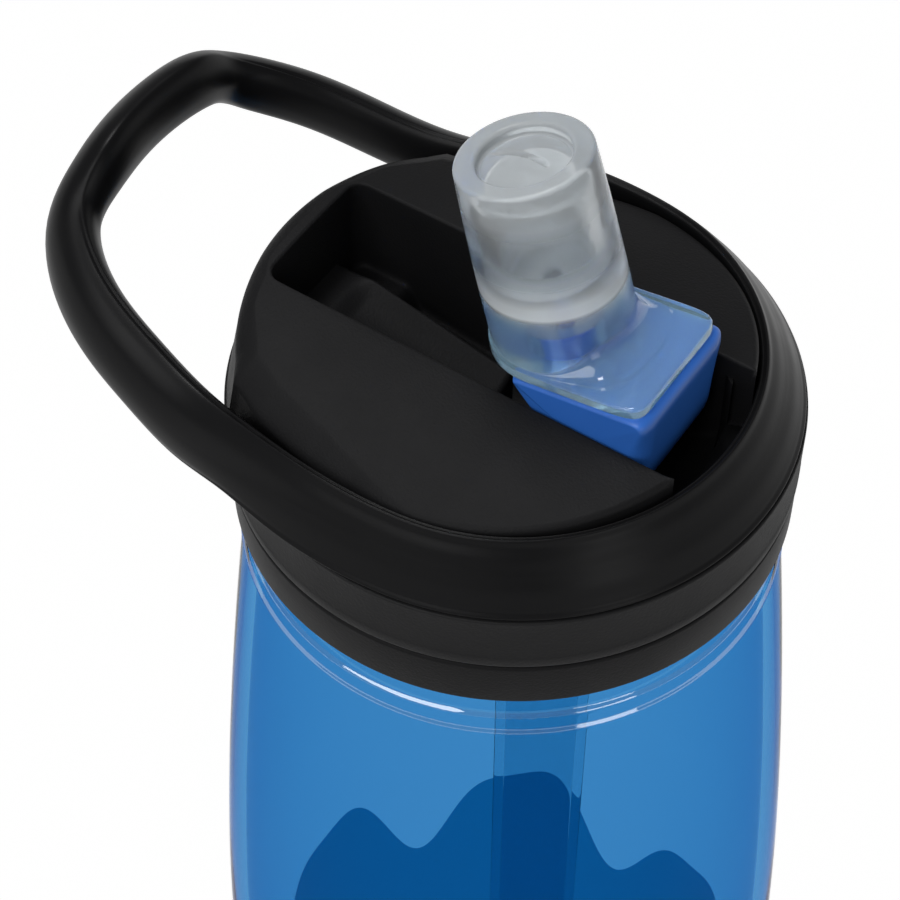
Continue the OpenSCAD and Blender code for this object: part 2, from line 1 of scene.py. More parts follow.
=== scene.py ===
# %% [markdown]
# # A drinking bottle with a fold-down bite-valve spout
#
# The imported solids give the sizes, the joints and the collision. This script dresses them: each visible
# piece is a numpy surface with rounded edges, worked out in millimetres in the solids' own frame, and gets
# a procedural finish. The frame's origin is the centre of the base, +Z is up, +X points to the spout's
# hinge and the loop lies at -X.

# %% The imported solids
import json

import bmesh
import bpy
import numpy as np
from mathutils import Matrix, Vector


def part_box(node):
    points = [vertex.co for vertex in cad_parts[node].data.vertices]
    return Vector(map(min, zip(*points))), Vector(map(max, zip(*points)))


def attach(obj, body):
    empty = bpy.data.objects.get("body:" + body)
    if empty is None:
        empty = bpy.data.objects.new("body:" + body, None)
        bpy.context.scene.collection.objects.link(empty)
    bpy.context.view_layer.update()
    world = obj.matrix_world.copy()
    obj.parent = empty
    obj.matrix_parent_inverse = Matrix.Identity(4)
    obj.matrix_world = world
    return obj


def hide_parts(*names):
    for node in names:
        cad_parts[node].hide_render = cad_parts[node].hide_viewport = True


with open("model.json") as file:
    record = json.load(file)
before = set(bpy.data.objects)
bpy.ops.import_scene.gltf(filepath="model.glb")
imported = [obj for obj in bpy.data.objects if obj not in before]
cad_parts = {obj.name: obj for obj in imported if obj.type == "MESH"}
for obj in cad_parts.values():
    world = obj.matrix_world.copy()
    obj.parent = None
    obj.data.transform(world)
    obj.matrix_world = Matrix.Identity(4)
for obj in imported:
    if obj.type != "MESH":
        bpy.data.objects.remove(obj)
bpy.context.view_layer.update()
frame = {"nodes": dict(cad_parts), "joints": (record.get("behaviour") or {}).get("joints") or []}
joints = {joint["name"]: joint for joint in frame["joints"]}

# %% [markdown]
# ## Driving sizes
#
# Most sizes are read from the solids: the cap's lower edge is the place of the cap's joint, the hinge line
# is the place of the spout's joint, and boxes give the radii. The rest repeats the named values of the
# solid model.

# %% Sizes in millimetres
MM = 0.001
CAP_Z = joints["cap_turn"]["pos_m"][2] / MM
HINGE = np.array(joints["spout_flip"]["pos_m"]) / MM
BODY_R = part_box("bottle_body")[1].y / MM
LIP_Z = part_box("bottle_body")[1].z / MM
BAND_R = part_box("grip_band")[1].y / MM
BAND_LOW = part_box("grip_band")[0].z / MM - CAP_Z
BAND_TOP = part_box("grip_band")[1].z / MM - CAP_Z
print("cap edge", CAP_Z, "hinge", HINGE, "body radius", round(BODY_R, 2), "band", round(BAND_R, 2))

# %% [markdown]
# ## Turning arrays into meshes
#
# Every surface below is a grid of points. Joining neighbours gives quads; a grid can close on itself along
# its rows, its columns or both. Points that coincide, such as the pole of a turned shape, are merged, any
# open rim that is hidden inside the object is filled, and the faces are turned outwards.

# %% From a grid of points to an object
def grid_faces(rows, columns, wrap_rows=False, wrap_columns=False):
    """Corner numbers of the quads between neighbours in a grid; a wrapped direction joins last to first."""
    i = np.arange(rows if wrap_rows else rows - 1)[:, None]
    j = np.arange(columns if wrap_columns else columns - 1)[None, :]
    after_i, after_j = (i + 1) % rows, (j + 1) % columns
    corners = [i * columns + j, i * columns + after_j, after_i * columns + after_j, after_i * columns + j]
    return np.stack(np.broadcast_arrays(*corners), -1).reshape(-1, 4)


def surface(points, wrap_rows=False, wrap_columns=False):
    """One grid of points (rows, columns, 3) as a pair of points and quads."""
    rows, columns = points.shape[:2]
    return points.reshape(-1, 3), grid_faces(rows, columns, wrap_rows, wrap_columns)


MERGE, SLIVER = 2e-7, 1e-7


def piece(name, parts, body, node, sharp=35):
    """Joins surfaces, in millimetres, into one object that rides on a body and stands for a solid."""
    starts = np.cumsum([0] + [len(points) for points, _ in parts[:-1]])
    points = np.concatenate([points for points, _ in parts]) * MM
    faces = np.concatenate([faces + start for (_, faces), start in zip(parts, starts)])
    mesh = bpy.data.meshes.new(name)
    mesh.from_pydata(points.tolist(), [], faces.tolist())
    work = bmesh.new()
    work.from_mesh(mesh)
    bmesh.ops.remove_doubles(work, verts=work.verts, dist=MERGE)
    bmesh.ops.dissolve_degenerate(work, edges=work.edges, dist=SLIVER)
    bmesh.ops.holes_fill(work, edges=[edge for edge in work.edges if edge.is_boundary], sides=0)
    bmesh.ops.recalc_face_normals(work, faces=work.faces)
    work.to_mesh(mesh)
    work.free()
    mesh.shade_smooth()
    mesh.set_sharp_from_angle(angle=np.radians(sharp))
    thing = bpy.data.objects.new(name, mesh)
    bpy.context.scene.collection.objects.link(thing)
    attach(thing, body)
    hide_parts(node)
    print(name, "points", len(mesh.vertices), "faces", len(mesh.polygons))
    return thing


def turned(profile, sides=192, centre=(0.0, 0.0)):
    """A profile of (radius, height) rows carried round an upright axis: (r cos a, r sin a, z)."""
    angle = np.linspace(0, 2 * np.pi, sides, endpoint=False)
    r, z = np.asarray(profile, float).T
    x = centre[0] + r[:, None] * np.cos(angle)
    y = centre[1] + r[:, None] * np.sin(angle)
    return np.stack([x, y, np.broadcast_to(z[:, None], x.shape)], -1)


def lathe(profile, sides=192, centre=(0.0, 0.0), closed=True):
    """The turned surface of a profile, which is closed where its end joins its start."""
    return surface(turned(profile, sides, centre), closed, True)


def arc(centre, radius, start, end, steps=8):
    """Points of a circle's arc between two angles in degrees."""
    angle = np.radians(np.linspace(start, end, steps + 1))
    return np.stack([centre[0] + radius * np.cos(angle), centre[1] + radius * np.sin(angle)], 1)


def quarter(count):
    """Angles from 0 to 90 degrees at even distances, in radians."""
    return np.radians(np.linspace(0, 90, count))


def wall_top(inner, outer, z, edge, steps):
    """The rounded upper end of a wall, from its outer face to its inner one: two quarter arcs."""
    outer_arc = arc((outer - edge, z - edge), edge, 0, 90, steps)
    inner_arc = arc((inner + edge, z - edge), edge, 90, 180, steps)
    return np.concatenate([outer_arc, inner_arc])


def ease(share):
    """A share cut to 0 to 1 and eased at both ends: three of its squares less two of its cubes."""
    share = np.clip(share, 0, 1)
    return share * share * (3 - 2 * share)


def stretch(a, b, steps):
    """Evenly spaced points from a to b, without the last."""
    share = np.arange(steps)[:, None] / steps
    return np.asarray(a, float) * (1 - share) + np.asarray(b, float) * share


print("helpers for turned shapes, arcs and rounded ends")

# %% [markdown]
# ## Camera
#
# The photo looks down on the cap from the near right side. Its place and direction were solved from the
# cap's round edges and the slot's straight ones, so the camera is set from those numbers and not by eye.

# %% Camera
CAMERA_AT = Vector((0.0860, -0.14211, 0.42148))
CAMERA_LOOKS = Vector((-0.3464, 0.5221, -0.7794))
CAMERA_LENS = 97.83
camera = bpy.data.objects.new("camera", bpy.data.cameras.new("camera"))
camera.data.lens = CAMERA_LENS
camera.data.clip_start = 0.01
camera.location = CAMERA_AT
camera.rotation_euler = CAMERA_LOOKS.to_track_quat("-Z", "Y").to_euler()
bpy.context.scene.collection.objects.link(camera)
bpy.context.scene.camera = camera
print("camera", [round(v, 4) for v in camera.location])

# %% [markdown]
# ## Screw thread
#
# The neck and the cap meet in a single-start thread. On both it is only a change of radius: at each angle
# the ridge's middle has climbed by its share of the pitch, and the ridge is a trapezoid around that height.

# %% Thread ridges as a function of angle and height
PITCH, THREAD_DEPTH, RIDGE_FOOT, RIDGE_CREST = 4.0, 1.1, 1.6, 0.8
RIDGE_FADE, MOST_LAPS = 30, 3


def thread(angle, z, low, start, turns):
    """Share of the ridge's height, 0 to 1: a trapezoid round the climbing middle line, faded at both ends."""
    height = np.zeros(np.broadcast(angle, z).shape)
    for lap in range(MOST_LAPS):
        total = np.degrees(angle) + 360 * lap - start
        middle = low + PITCH * total / 360
        side = (RIDGE_FOOT / 2 - np.abs(z - middle)) / ((RIDGE_FOOT - RIDGE_CREST) / 2)
        fade = np.minimum(total, 360 * turns - total) / RIDGE_FADE
        height = np.maximum(height, np.clip(side, 0, 1) * np.clip(fade, 0, 1))
    return height


# %% [markdown]
# ## Bottle body
#
# The body is blown from clear tinted plastic with a thick, even wall. It could be one face with a made-up
# thickness, but it is one turned surface, outside and inside, so that light bends at both faces. The
# outline swells slowly below the cap, is widest a little above half height and draws in a little towards
# the base. Two fine rings stand out on the shoulder; the rows of points lie close together there, because
# each ring is less than a millimetre high.

# %% Bottle body
BELLY_Z, SHOULDER_R, FOOT_R, WALL, BASE_WALL = 117.0, 29.0, 35.0, 2.2, 3.0
FOOT_ROUND, SHOULDER_ROUND, SHOULDER_GAP, NECK_R, NECK_WALL = 5.0, 5.4, 0.5, 25.6, 2.4
NECK_RIDGE_Z, NECK_TURNS, NECK_STEPS, LIP_EDGE = 1.9, 1.2, 56, 0.4
BEAD_DEPTHS, BEAD_RISE, BEAD_HALF, BEAD_ROOM = (4.2, 6.6), 0.36, 0.4, 2.5
SIDE_STEPS, BEAD_STEPS, SHOULDER_STEPS = 58, 32, 70


def body_radius(z):
    """Outer radius: the largest radius less a power of the distance from the widest height."""
    above = np.clip((z - BELLY_Z) / (CAP_Z - BELLY_Z), 0, None) ** 1.5 * (BODY_R - SHOULDER_R)
    below = np.clip((BELLY_Z - z) / BELLY_Z, 0, None) ** 2 * (BODY_R - FOOT_R)
    return BODY_R - above - below


def body_side(low, high, inset, steps):
    """The curved side between two heights, inset by a wall."""
    z = np.linspace(low, high, steps + 1)[1:-1]
    return np.stack([body_radius(z) - inset, z], 1)


def beads(z):
    """Rise of the two fine rings moulded round the shoulder: a bell across each ring's height."""
    return sum(BEAD_RISE * np.exp(-((z - CAP_Z + depth) / BEAD_HALF)**2) for depth in BEAD_DEPTHS)


edge_z = CAP_Z - SHOULDER_GAP - SHOULDER_ROUND
edge_c = body_radius(edge_z) - SHOULDER_ROUND
foot_c = body_radius(FOOT_ROUND) - FOOT_ROUND
foot_in = FOOT_ROUND - WALL
foot_top = BASE_WALL + foot_in
foot_in_c = body_radius(foot_top) - WALL - foot_in
neck_in = NECK_R - NECK_WALL
shoulder_z = CAP_Z - SHOULDER_GAP
outside = np.concatenate([
    [[0, 0]], stretch((2, 0), (foot_c, 0), 8), arc((foot_c, FOOT_ROUND), FOOT_ROUND, -90, 0),
    body_side(FOOT_ROUND, edge_z - BEAD_ROOM, 0, SIDE_STEPS),
    body_side(edge_z - BEAD_ROOM, edge_z, 0, BEAD_STEPS),
    arc((edge_c, edge_z), SHOULDER_ROUND, 0, 90, SHOULDER_STEPS)])
outside[:, 0] += beads(outside[:, 1])
neck = np.concatenate([
    stretch((NECK_R, shoulder_z), (NECK_R, LIP_Z - LIP_EDGE), NECK_STEPS),
    wall_top(neck_in, NECK_R, LIP_Z, LIP_EDGE, 4)])
inside = np.concatenate([
    [[0, BASE_WALL]], arc((foot_in_c, foot_top), foot_in, -90, 0), body_side(foot_top, edge_z, WALL, 60),
    arc((edge_c, edge_z), SHOULDER_ROUND - WALL, 0, 90, 4), [[neck_in, shoulder_z - WALL]]])
body_points = turned(np.concatenate([outside, neck, inside[::-1]]))
body_angle = np.linspace(0, 2 * np.pi, body_points.shape[1], endpoint=False)[None, :]
neck_rows = slice(len(outside), len(outside) + NECK_STEPS)
neck_rise = body_points[neck_rows, :, 2] - CAP_Z
grown = 1 + THREAD_DEPTH * thread(body_angle, neck_rise, NECK_RIDGE_Z, 0, NECK_TURNS) / NECK_R
body_points[neck_rows, :, :2] *= grown[..., None]
bottle = piece("bottle_shell", [surface(body_points, wrap_columns=True)],
               "bottle", "bottle_body")

# %% The outer face of the wall, where a print lies
bottle_at = np.empty(len(bottle.data.vertices) * 3)
bottle.data.vertices.foreach_get("co", bottle_at)
bottle_at = bottle_at.reshape(-1, 3) / MM
outer_face = np.hypot(bottle_at[:, 0], bottle_at[:, 1]) > body_radius(bottle_at[:, 2]) - WALL / 2
outer_mark = bottle.data.attributes.new("outer_face", "FLOAT", "POINT")
outer_mark.data.foreach_set("value", outer_face.astype(np.float32))
print("outer face", int(outer_face.sum()), "of", len(outer_face), "points")

# %% [markdown]
# ## Cap: skirt, core and thread
#
# The lower cap is a turned ring: the skirt that shows, the core behind the band, the ledge under the
# carrying ring and the threaded bore. The bore's radius shrinks by the thread's ridge, half a pitch away
# from the neck's.

# %% Cap skirt
CAP_IN, CORE_R, SKIRT_R, SKIRT_H, HOLLOW_R, CEILING = 27.05, BAND_R - 2.1, BAND_R - 0.1, 6.1, 22.4, 9.0
CAP_RIDGE_START, CAP_TURNS, SKIRT_EDGE, CORE_IN, CEILING_TOP = 140.0, 0.85, 0.45, CORE_R - 1.0, 10.2


def ring_path(points):
    """A polyline of (radius, height above the cap's edge), lifted to the frame."""
    return np.asarray(points, float) + [0, CAP_Z]


skirt_outside = np.concatenate([
    arc((SKIRT_R - SKIRT_EDGE, SKIRT_EDGE), SKIRT_EDGE, -90, 0, 5),
    arc((SKIRT_R - SKIRT_EDGE, SKIRT_H - SKIRT_EDGE), SKIRT_EDGE, 0, 90, 5),
    [[CORE_R, SKIRT_H], [CORE_R, BAND_TOP], [CORE_IN, BAND_TOP], [CORE_IN, CEILING_TOP]],
    [[HOLLOW_R, CEILING_TOP], [HOLLOW_R, CEILING]]])
skirt_inside = stretch((CAP_IN, CEILING), (CAP_IN, 0.0), 60)
skirt_points = turned(ring_path(np.concatenate([skirt_outside, skirt_inside])))
bore_rows = slice(len(skirt_outside), None)
bore_rise = skirt_points[bore_rows, :, 2] - CAP_Z
cap_ridge_z = NECK_RIDGE_Z + PITCH * (CAP_RIDGE_START / 360 - 0.5)
shrunk = 1 - THREAD_DEPTH * thread(body_angle, bore_rise, cap_ridge_z, CAP_RIDGE_START, CAP_TURNS) / CAP_IN
skirt_points[bore_rows, :, :2] *= shrunk[..., None]
cap_parts = [surface(skirt_points, wrap_rows=True, wrap_columns=True)]
print("skirt radius", round(SKIRT_R, 2), "thread bore", CAP_IN)

# %% [markdown]
# ## Middle line of the carrying loop
#
# The ring round the deck and the loop are one moulding along one closed curve, and the deck's edge keeps
# its distance from it, so the curve comes first. It is a uniform cubic B-spline, whose guide corners lie on
# the ring, along the arms and on the loop's outer bar. Each corner also holds the height above and the
# depth below the middle line, and how far the section has changed from the ring's sloped one to the bar's
# round one.

# %% Guide corners and middle line of the loop
BAR_W, BAR_UP, BAR_DOWN = 6.1, 3.85, 3.85
RING_R, RING_Z, RING_UP, CREST_RISE = BAND_R - 2.7, 18.1, 2.8, 0.5
RING_FOOT = BAND_TOP + 0.25
ARM_ROOT, LOOP_REACH, LOOP_BOW = 9.0, 48.3, 1.0
ROOT_HALF, ARM_HALF, LOOP_HALF, ARM_DROP, LOOP_RISE = 23.5, 19.6, 14.1, 3.2, 9.1
ARM_SHARES, BAR_PLACES, LOOP_STEPS = (0.1, 0.5, 0.9, 1, 1, 1), (0.6, 0.2), 10


def loop_corners():
    """Guide corners of the near half and their mirror: x, y, z, height above, depth below, bar's share."""
    turn = np.radians(np.arange(0, 91, 15))
    r = RING_R * 3 / (2 + np.cos(np.radians(15)))
    same = np.ones_like(turn)
    crest = RING_UP + CREST_RISE * np.cos(turn)**2
    ring = np.stack([r * np.cos(turn), -r * np.sin(turn), RING_Z * same, crest,
                     (RING_Z - RING_FOOT) * same, 0 * same], 1)
    x = -ARM_ROOT - (LOOP_REACH - ARM_ROOT) * np.arange(6) / 5
    half = [RING_R, (RING_R + ROOT_HALF) / 2, ROOT_HALF, (ROOT_HALF + ARM_HALF) / 2, ARM_HALF, LOOP_HALF]
    y = -np.array(half)
    z = RING_Z + np.array([0, -ARM_DROP / 2, -ARM_DROP, -ARM_DROP / 3, LOOP_RISE / 7, LOOP_RISE / 2])
    above = np.array([RING_UP, (RING_UP + BAR_UP) / 2, BAR_UP, BAR_UP, BAR_UP, BAR_UP])
    depth = np.array([z[0] - RING_FOOT, z[1] - RING_FOOT, BAR_DOWN, BAR_DOWN, BAR_DOWN, BAR_DOWN])
    arm = np.stack([x, y, z, above, depth, np.array(ARM_SHARES)], 1)
    bar = np.array([[bow - LOOP_REACH, -LOOP_HALF * share, RING_Z + LOOP_RISE, BAR_UP, BAR_DOWN, 1]
                    for bow, share in zip((LOOP_BOW, 0), BAR_PLACES)])
    near = np.concatenate([ring, arm, bar])
    return np.concatenate([near, near[:0:-1] * [1, -1, 1, 1, 1, 1]])


def closed_spline(corners, steps):
    """Uniform cubic B-spline of a closed guide polygon: four neighbours weighted by the cubic's blends."""
    t = (np.arange(steps) / steps)[None, :, None]
    blend = [(1 - t)**3, 3 * t**3 - 6 * t**2 + 4, 1 + 3 * t + 3 * t**2 - 3 * t**3, t**3]
    shifted = [np.roll(corners, k, 0)[:, None, :] for k in (1, 0, -1, -2)]
    return (sum(w * c for w, c in zip(blend, shifted)) / 6).reshape(-1, corners.shape[1])


loop_path = closed_spline(loop_corners(), LOOP_STEPS)
run = np.roll(loop_path, -1, 0)[:, :2] - np.roll(loop_path, 1, 0)[:, :2]
loop_out = np.stack([-run[:, 1], run[:, 0]], 1) / np.linalg.norm(run, axis=1, keepdims=True)
print("loop middle line", len(loop_path), "points, reach", round(float(loop_path[:, 0].min()), 2))

# %% [markdown]
# ## Cap: crowned deck and slot
#
# The deck is a horseshoe round the slot. It could be cut from a block with booleans, but then every edge
# stays sharp. Here one section is carried round the horseshoe: slot floor, fillet, wall, rounded lip,
# crowned deck, rounded rim, outside, and back underneath. The section's ends follow two outlines, the
# slot's and the rim's. The rim runs round the drum, then along the inner sides of the loop's arms, and
# closes round the shoulder between them.

# %% Outlines of the deck: slot edge, rim and the middle line of the floor
DECK_H, CROWN_R, SLOT_HALF = 23.4, 92.0, 8.2
DRUM_PLAY, HAIR = 0.22, 0.05
DRUM_R = RING_R - BAR_W / 2 - DRUM_PLAY
SHELF_R, SHELF_PLAY = BAND_R - 0.3, 0.65
SLOT_END = SHELF_R - 4.5
SLOT_CORNER, LIP_ROUND, FLOOR_FILLET, SLOT_WALL, FLOOR_STEPS = 1.6, 0.4, 0.8, 2.0, 20
FINE_FROM, FINE_TO, MIDDLE_END = -9.0, -17.0, -16.0


def even_line(line, count):
    """A polyline sampled at even distances from its first to its last point."""
    length = np.concatenate([[0], np.cumsum(np.linalg.norm(np.diff(line, axis=0), axis=1))])
    at = np.linspace(0, length[-1], count)
    return np.stack([np.interp(at, length, line[:, k]) for k in (0, 1)], 1)


def deg(point):
    """Angle of a plan point round the cap's axis."""
    return np.degrees(np.arctan2(point[1], point[0]))


tip = np.array([np.sqrt(DRUM_R**2 - SLOT_HALF**2), -SLOT_HALF])
inside_arm = loop_path[:, :2] - loop_out * (BAR_W / 2 + SHELF_PLAY)
inside_r = np.linalg.norm(inside_arm, axis=1)
near_arm = slice(6 * LOOP_STEPS, 11 * LOOP_STEPS)
between = (inside_r[near_arm] > DRUM_R + HAIR) & (inside_r[near_arm] < SHELF_R - HAIR)
arm_side = even_line(inside_arm[near_arm][between], 31)
corner_c = np.array([SLOT_CORNER - SLOT_END, SLOT_CORNER - SLOT_HALF])
rim_line = np.concatenate([arc((0, 0), DRUM_R, deg(tip), deg(arm_side[0]), 70)[:-1], arm_side[:-1],
                           arc((0, 0), SHELF_R, deg(arm_side[-1]), -180, 34)])
slot_line = np.concatenate([
    stretch(tip, (FINE_FROM, -SLOT_HALF), 70),
    stretch((FINE_FROM, -SLOT_HALF), (FINE_TO, -SLOT_HALF), 30),
    stretch((FINE_TO, -SLOT_HALF), (corner_c[0], -SLOT_HALF), 18),
    arc(corner_c, SLOT_CORNER, -90, -180, 8)[:-1],
    stretch((-SLOT_END, corner_c[1]), (-SLOT_END, 0.0), 8), [[-SLOT_END, 0.0]]])
middle_line = np.stack([np.maximum(slot_line[:, 0], MIDDLE_END), np.zeros(len(slot_line))], 1)
place = np.arange(len(rim_line))[:, None]
print("deck outlines", rim_line.shape, slot_line.shape, "arm side", np.round(arm_side[[0, -1]], 1).tolist())

# %% How the rim changes along the outline: places on it, and sizes there
RIM_PLACES, LEAN_PLACES = [0, 56, 78, 100, 112, 134], [0, 92, 104, 134]
CREASE_PLACES = [0, 56, 72, 100, 112, 134]
rim_round = np.interp(place, RIM_PLACES, [0.7, 0.7, 3.2, 3.2, 2.0, 2.0])
rim_fall = np.interp(place, RIM_PLACES, [0.7, 0.7, 2.2, 2.2, 1.7, 1.7])
rim_crease = np.radians(np.interp(place, CREASE_PLACES, [0, 0, 28, 28, 40, 40]))
rim_lean = np.interp(place, LEAN_PLACES, [0, 0, 1.3, 1.3])
print("rim rounding from", rim_round.min(), "to", rim_round.max())

# %% One section of the deck, for every place along the outlines at once
FLOOR_X = np.array([-26.5, -19.1, -17.5, -4.0, 9.4, 10.0, 16.0, 16.6, 19.5, 21.2, 22.5, 24.5])
FLOOR_Z = np.array([10.4, 10.4, 7.6, 5.4, 5.4, 11.5, 11.5, 8.8, 10.5, 12.2, 14.2, 14.2])
CORNER_BLUR, LIP_SHARE, WALL_STEPS, FULL, LEAST = 0.5, 0.3, 7, 0.98, 1e-3
DECK_SHARES = np.concatenate([np.linspace(0, 0.94, 9)[1:], [0.97, 0.985]])[None, :]
DECK_T, BOX_END = 2.6, 20.0


def crown(y):
    """Height of the deck: a cylinder lying along the slot."""
    return DECK_H - CROWN_R + np.sqrt(CROWN_R**2 - y**2)


def slot_floor(x):
    """Height of the slot's floor: straight runs whose corners are averaged over a short way."""
    shift = np.linspace(-CORNER_BLUR, CORNER_BLUR, 11)
    return np.interp(x[..., None] + shift, FLOOR_X, FLOOR_Z).mean(-1)


def along(start, end, share):
    """Plan points at shares of the way between two outlines: (places, shares, 2)."""
    return start[:, None, :] + (end - start)[:, None, :] * share[..., None]


def unit(v):
    """Vectors scaled to length one; a vector of no length points along +X."""
    size = np.linalg.norm(v, axis=-1, keepdims=True)
    return np.where(size > 1e-9, v / np.maximum(size, 1e-9), [1.0, 0.0])


def joined(plan, z):
    """Plan points and heights as points in the frame."""
    return np.concatenate([plan, (z + CAP_Z)[..., None]], -1)


def deck_section(slot_edge, rim_foot, middle):
    """Rows of points from the floor's middle line up the wall, over deck and rim and back underneath."""
    rim = rim_foot - unit(rim_foot) * rim_lean
    to_wall = np.linalg.norm(slot_edge - middle, axis=1)[:, None]
    turn = quarter(7)[None, :]
    fillet_share = 1 - FLOOR_FILLET * (1 - np.sin(turn)) / to_wall
    flat_share = np.linspace(0, 1, FLOOR_STEPS + 1)[None, :-1] * fillet_share[:, :1]
    floor_plan = along(middle, slot_edge, np.concatenate([flat_share, fillet_share], 1))
    lift = np.concatenate([np.zeros((1, FLOOR_STEPS)), FLOOR_FILLET * (1 - np.cos(turn))], 1)
    floor = joined(floor_plan, slot_floor(floor_plan[..., 0]) + lift)

    width = np.linalg.norm(rim - slot_edge, axis=1)[:, None]
    outward = unit(rim - slot_edge)[:, None, :]
    lip = np.minimum(LIP_ROUND, width * LIP_SHARE)
    lip_plan = slot_edge[:, None, :] + outward * (lip * (1 - np.cos(turn)))[..., None]
    lip_top = crown(lip_plan[..., 1])
    low = floor[:, -1:, 2] - CAP_Z
    high = lip_top[:, :1] - lip
    wall_z = low + (high - low) * np.linspace(0, 1, WALL_STEPS + 1)[None, 1:-1]
    wall = joined(np.repeat(slot_edge[:, None, :], WALL_STEPS - 1, 1), wall_z)
    lip_points = joined(lip_plan, lip_top - lip * (1 - np.sin(turn)))

    room = np.maximum(width - lip, LEAST) * FULL
    round_r = np.minimum(rim_round, room)
    bend = rim_crease + (np.pi / 2 - rim_crease) * np.linspace(0, 1, 13)[None, :]
    reached = (np.sin(bend) - np.sin(rim_crease)) / (1 - np.sin(rim_crease))
    fallen = (np.cos(rim_crease) - np.cos(bend)) / np.cos(rim_crease)
    rim_share = 1 - round_r * (1 - reached) / np.maximum(width, LEAST)
    start_share = lip / np.maximum(width, LEAST)
    deck_share = start_share + (rim_share[:, :1] - start_share) * DECK_SHARES
    deck_plan = along(slot_edge, rim, np.concatenate([deck_share, rim_share], 1))
    drop = np.concatenate([np.zeros_like(deck_share), np.minimum(rim_fall, room) * fallen], 1)
    deck = joined(deck_plan, crown(deck_plan[..., 1]) - drop)

    side_low = BAND_TOP + HAIR
    down = np.linspace(0, 1, 5)[None, 1:]
    side_top = deck[:, -1:, 2] - CAP_Z
    side = joined(along(rim, rim_foot, np.repeat(down, len(rim), 0)), side_top + (side_low - side_top) * down)
    box_edge = slot_edge + unit(rim - slot_edge) * SLOT_WALL
    box_edge = np.stack([np.minimum(box_edge[:, 0], BOX_END), box_edge[:, 1]], 1)
    hollow = unit(rim) * np.maximum(HOLLOW_R, np.linalg.norm(box_edge, axis=1, keepdims=True))
    under_z = crown(rim[:, 1:2]) - DECK_T
    floor_low = slot_floor(middle[:, :1]) - SLOT_WALL
    under_plan = np.stack([hollow, hollow, box_edge, box_edge, middle], 1)
    under_z = np.concatenate([np.full_like(under_z, side_low), under_z, under_z, floor_low, floor_low], 1)
    return np.concatenate([floor, wall, lip_points, deck, side, joined(under_plan, under_z)], 1)


near_half = deck_section(slot_line, rim_line, middle_line)
far_half = near_half[::-1][1:] * [1, -1, 1]
cap_parts.append(surface(np.concatenate([near_half, far_half])))
print("deck", near_half.shape[0], "places,", near_half.shape[1], "points in a section")

# %% [markdown]
# ## Cap: bed along the slot
#
# When the spout folds down, its tube comes to lie on a raised bed in the middle of the slot. The bed is a
# bar with rounded edges, whose top is hollowed to the tube's radius and climbs towards the slot's closed
# end as the tube does. Past the tube's tip a flat block fills the last few millimetres.

# %% Bed in the slot
BED_HALF, BED_EDGE, BED_X = 4.3, 0.6, -3.0
TUBE_FOOT, TUBE_SLOPE, TUBE_ROOM, TROUGH_R = (1.96, 7.97), 0.221, 0.4, 7.4
BLOCK_X, BLOCK_RAMP, BLOCK_Z = -20.4, 2.5, 13.7
BED_STEPS, BED_DEPTH, BED_SUNK, BED_FOOT = 90, 9.0, 0.5, 0.6


def bed_height(x, y):
    """Top of the bed: the folded tube's underside less a clearance, hollowed to a trough, with a flat end."""
    hollow = TROUGH_R - np.sqrt(TROUGH_R**2 - y**2)
    trough = TUBE_FOOT[1] + TUBE_SLOPE * (TUBE_FOOT[0] - x) - TUBE_ROOM + hollow
    end = ease((BLOCK_X - x) / BLOCK_RAMP)
    return trough * (1 - end) + BLOCK_Z * end


half_way = np.linspace(0, BED_HALF - BED_EDGE, 8)
edge_turn = quarter(8)[1:]
bed_y = np.concatenate([half_way, BED_HALF - BED_EDGE * (1 - np.sin(edge_turn)), [BED_HALF]])
bed_drop = np.concatenate([np.zeros(8), BED_EDGE * (1 - np.cos(edge_turn)), [BED_DEPTH]])
bed_across = np.concatenate([-bed_y[::-1], bed_y[1:]])
bed_sunk = np.concatenate([bed_drop[::-1], bed_drop[1:]])
end_turn = quarter(7)[1:]
bed_run = np.linspace(-SLOT_END - BED_SUNK, BED_X - BED_EDGE, BED_STEPS)
bed_x = np.concatenate([bed_run, BED_X - BED_EDGE * (1 - np.sin(end_turn)), [BED_X]])
end_drop = np.concatenate([np.zeros(BED_STEPS), BED_EDGE * (1 - np.cos(end_turn)), [BED_DEPTH]])
bed_top = bed_height(bed_x[:, None], bed_across[None, :])
bed_floor = slot_floor(bed_x)[:, None]
bed_z = np.maximum(bed_top - bed_sunk[None, :] - end_drop[:, None], bed_floor - BED_SUNK)
bed_points = np.stack(np.broadcast_arrays(bed_x[:, None], bed_across[None, :], bed_z + CAP_Z), -1)
bed_foot = bed_points.copy()
bed_foot[..., 2] = bed_floor - BED_FOOT + CAP_Z
cap_parts.append(surface(np.concatenate([bed_points, bed_foot[:, ::-1]], 1), wrap_columns=True))
print("bed from", round(float(bed_top[0].max()), 2), "to", round(float(bed_top[-1].max()), 2))

# %% [markdown]
# ## Cap: flow block, straw socket and air-valve boss
#
# Under the slot a small block leads the drink from the straw to the hinge. It shows only through the clear
# body. The block is a superellipse drawn along its height, the socket and the boss are turned.

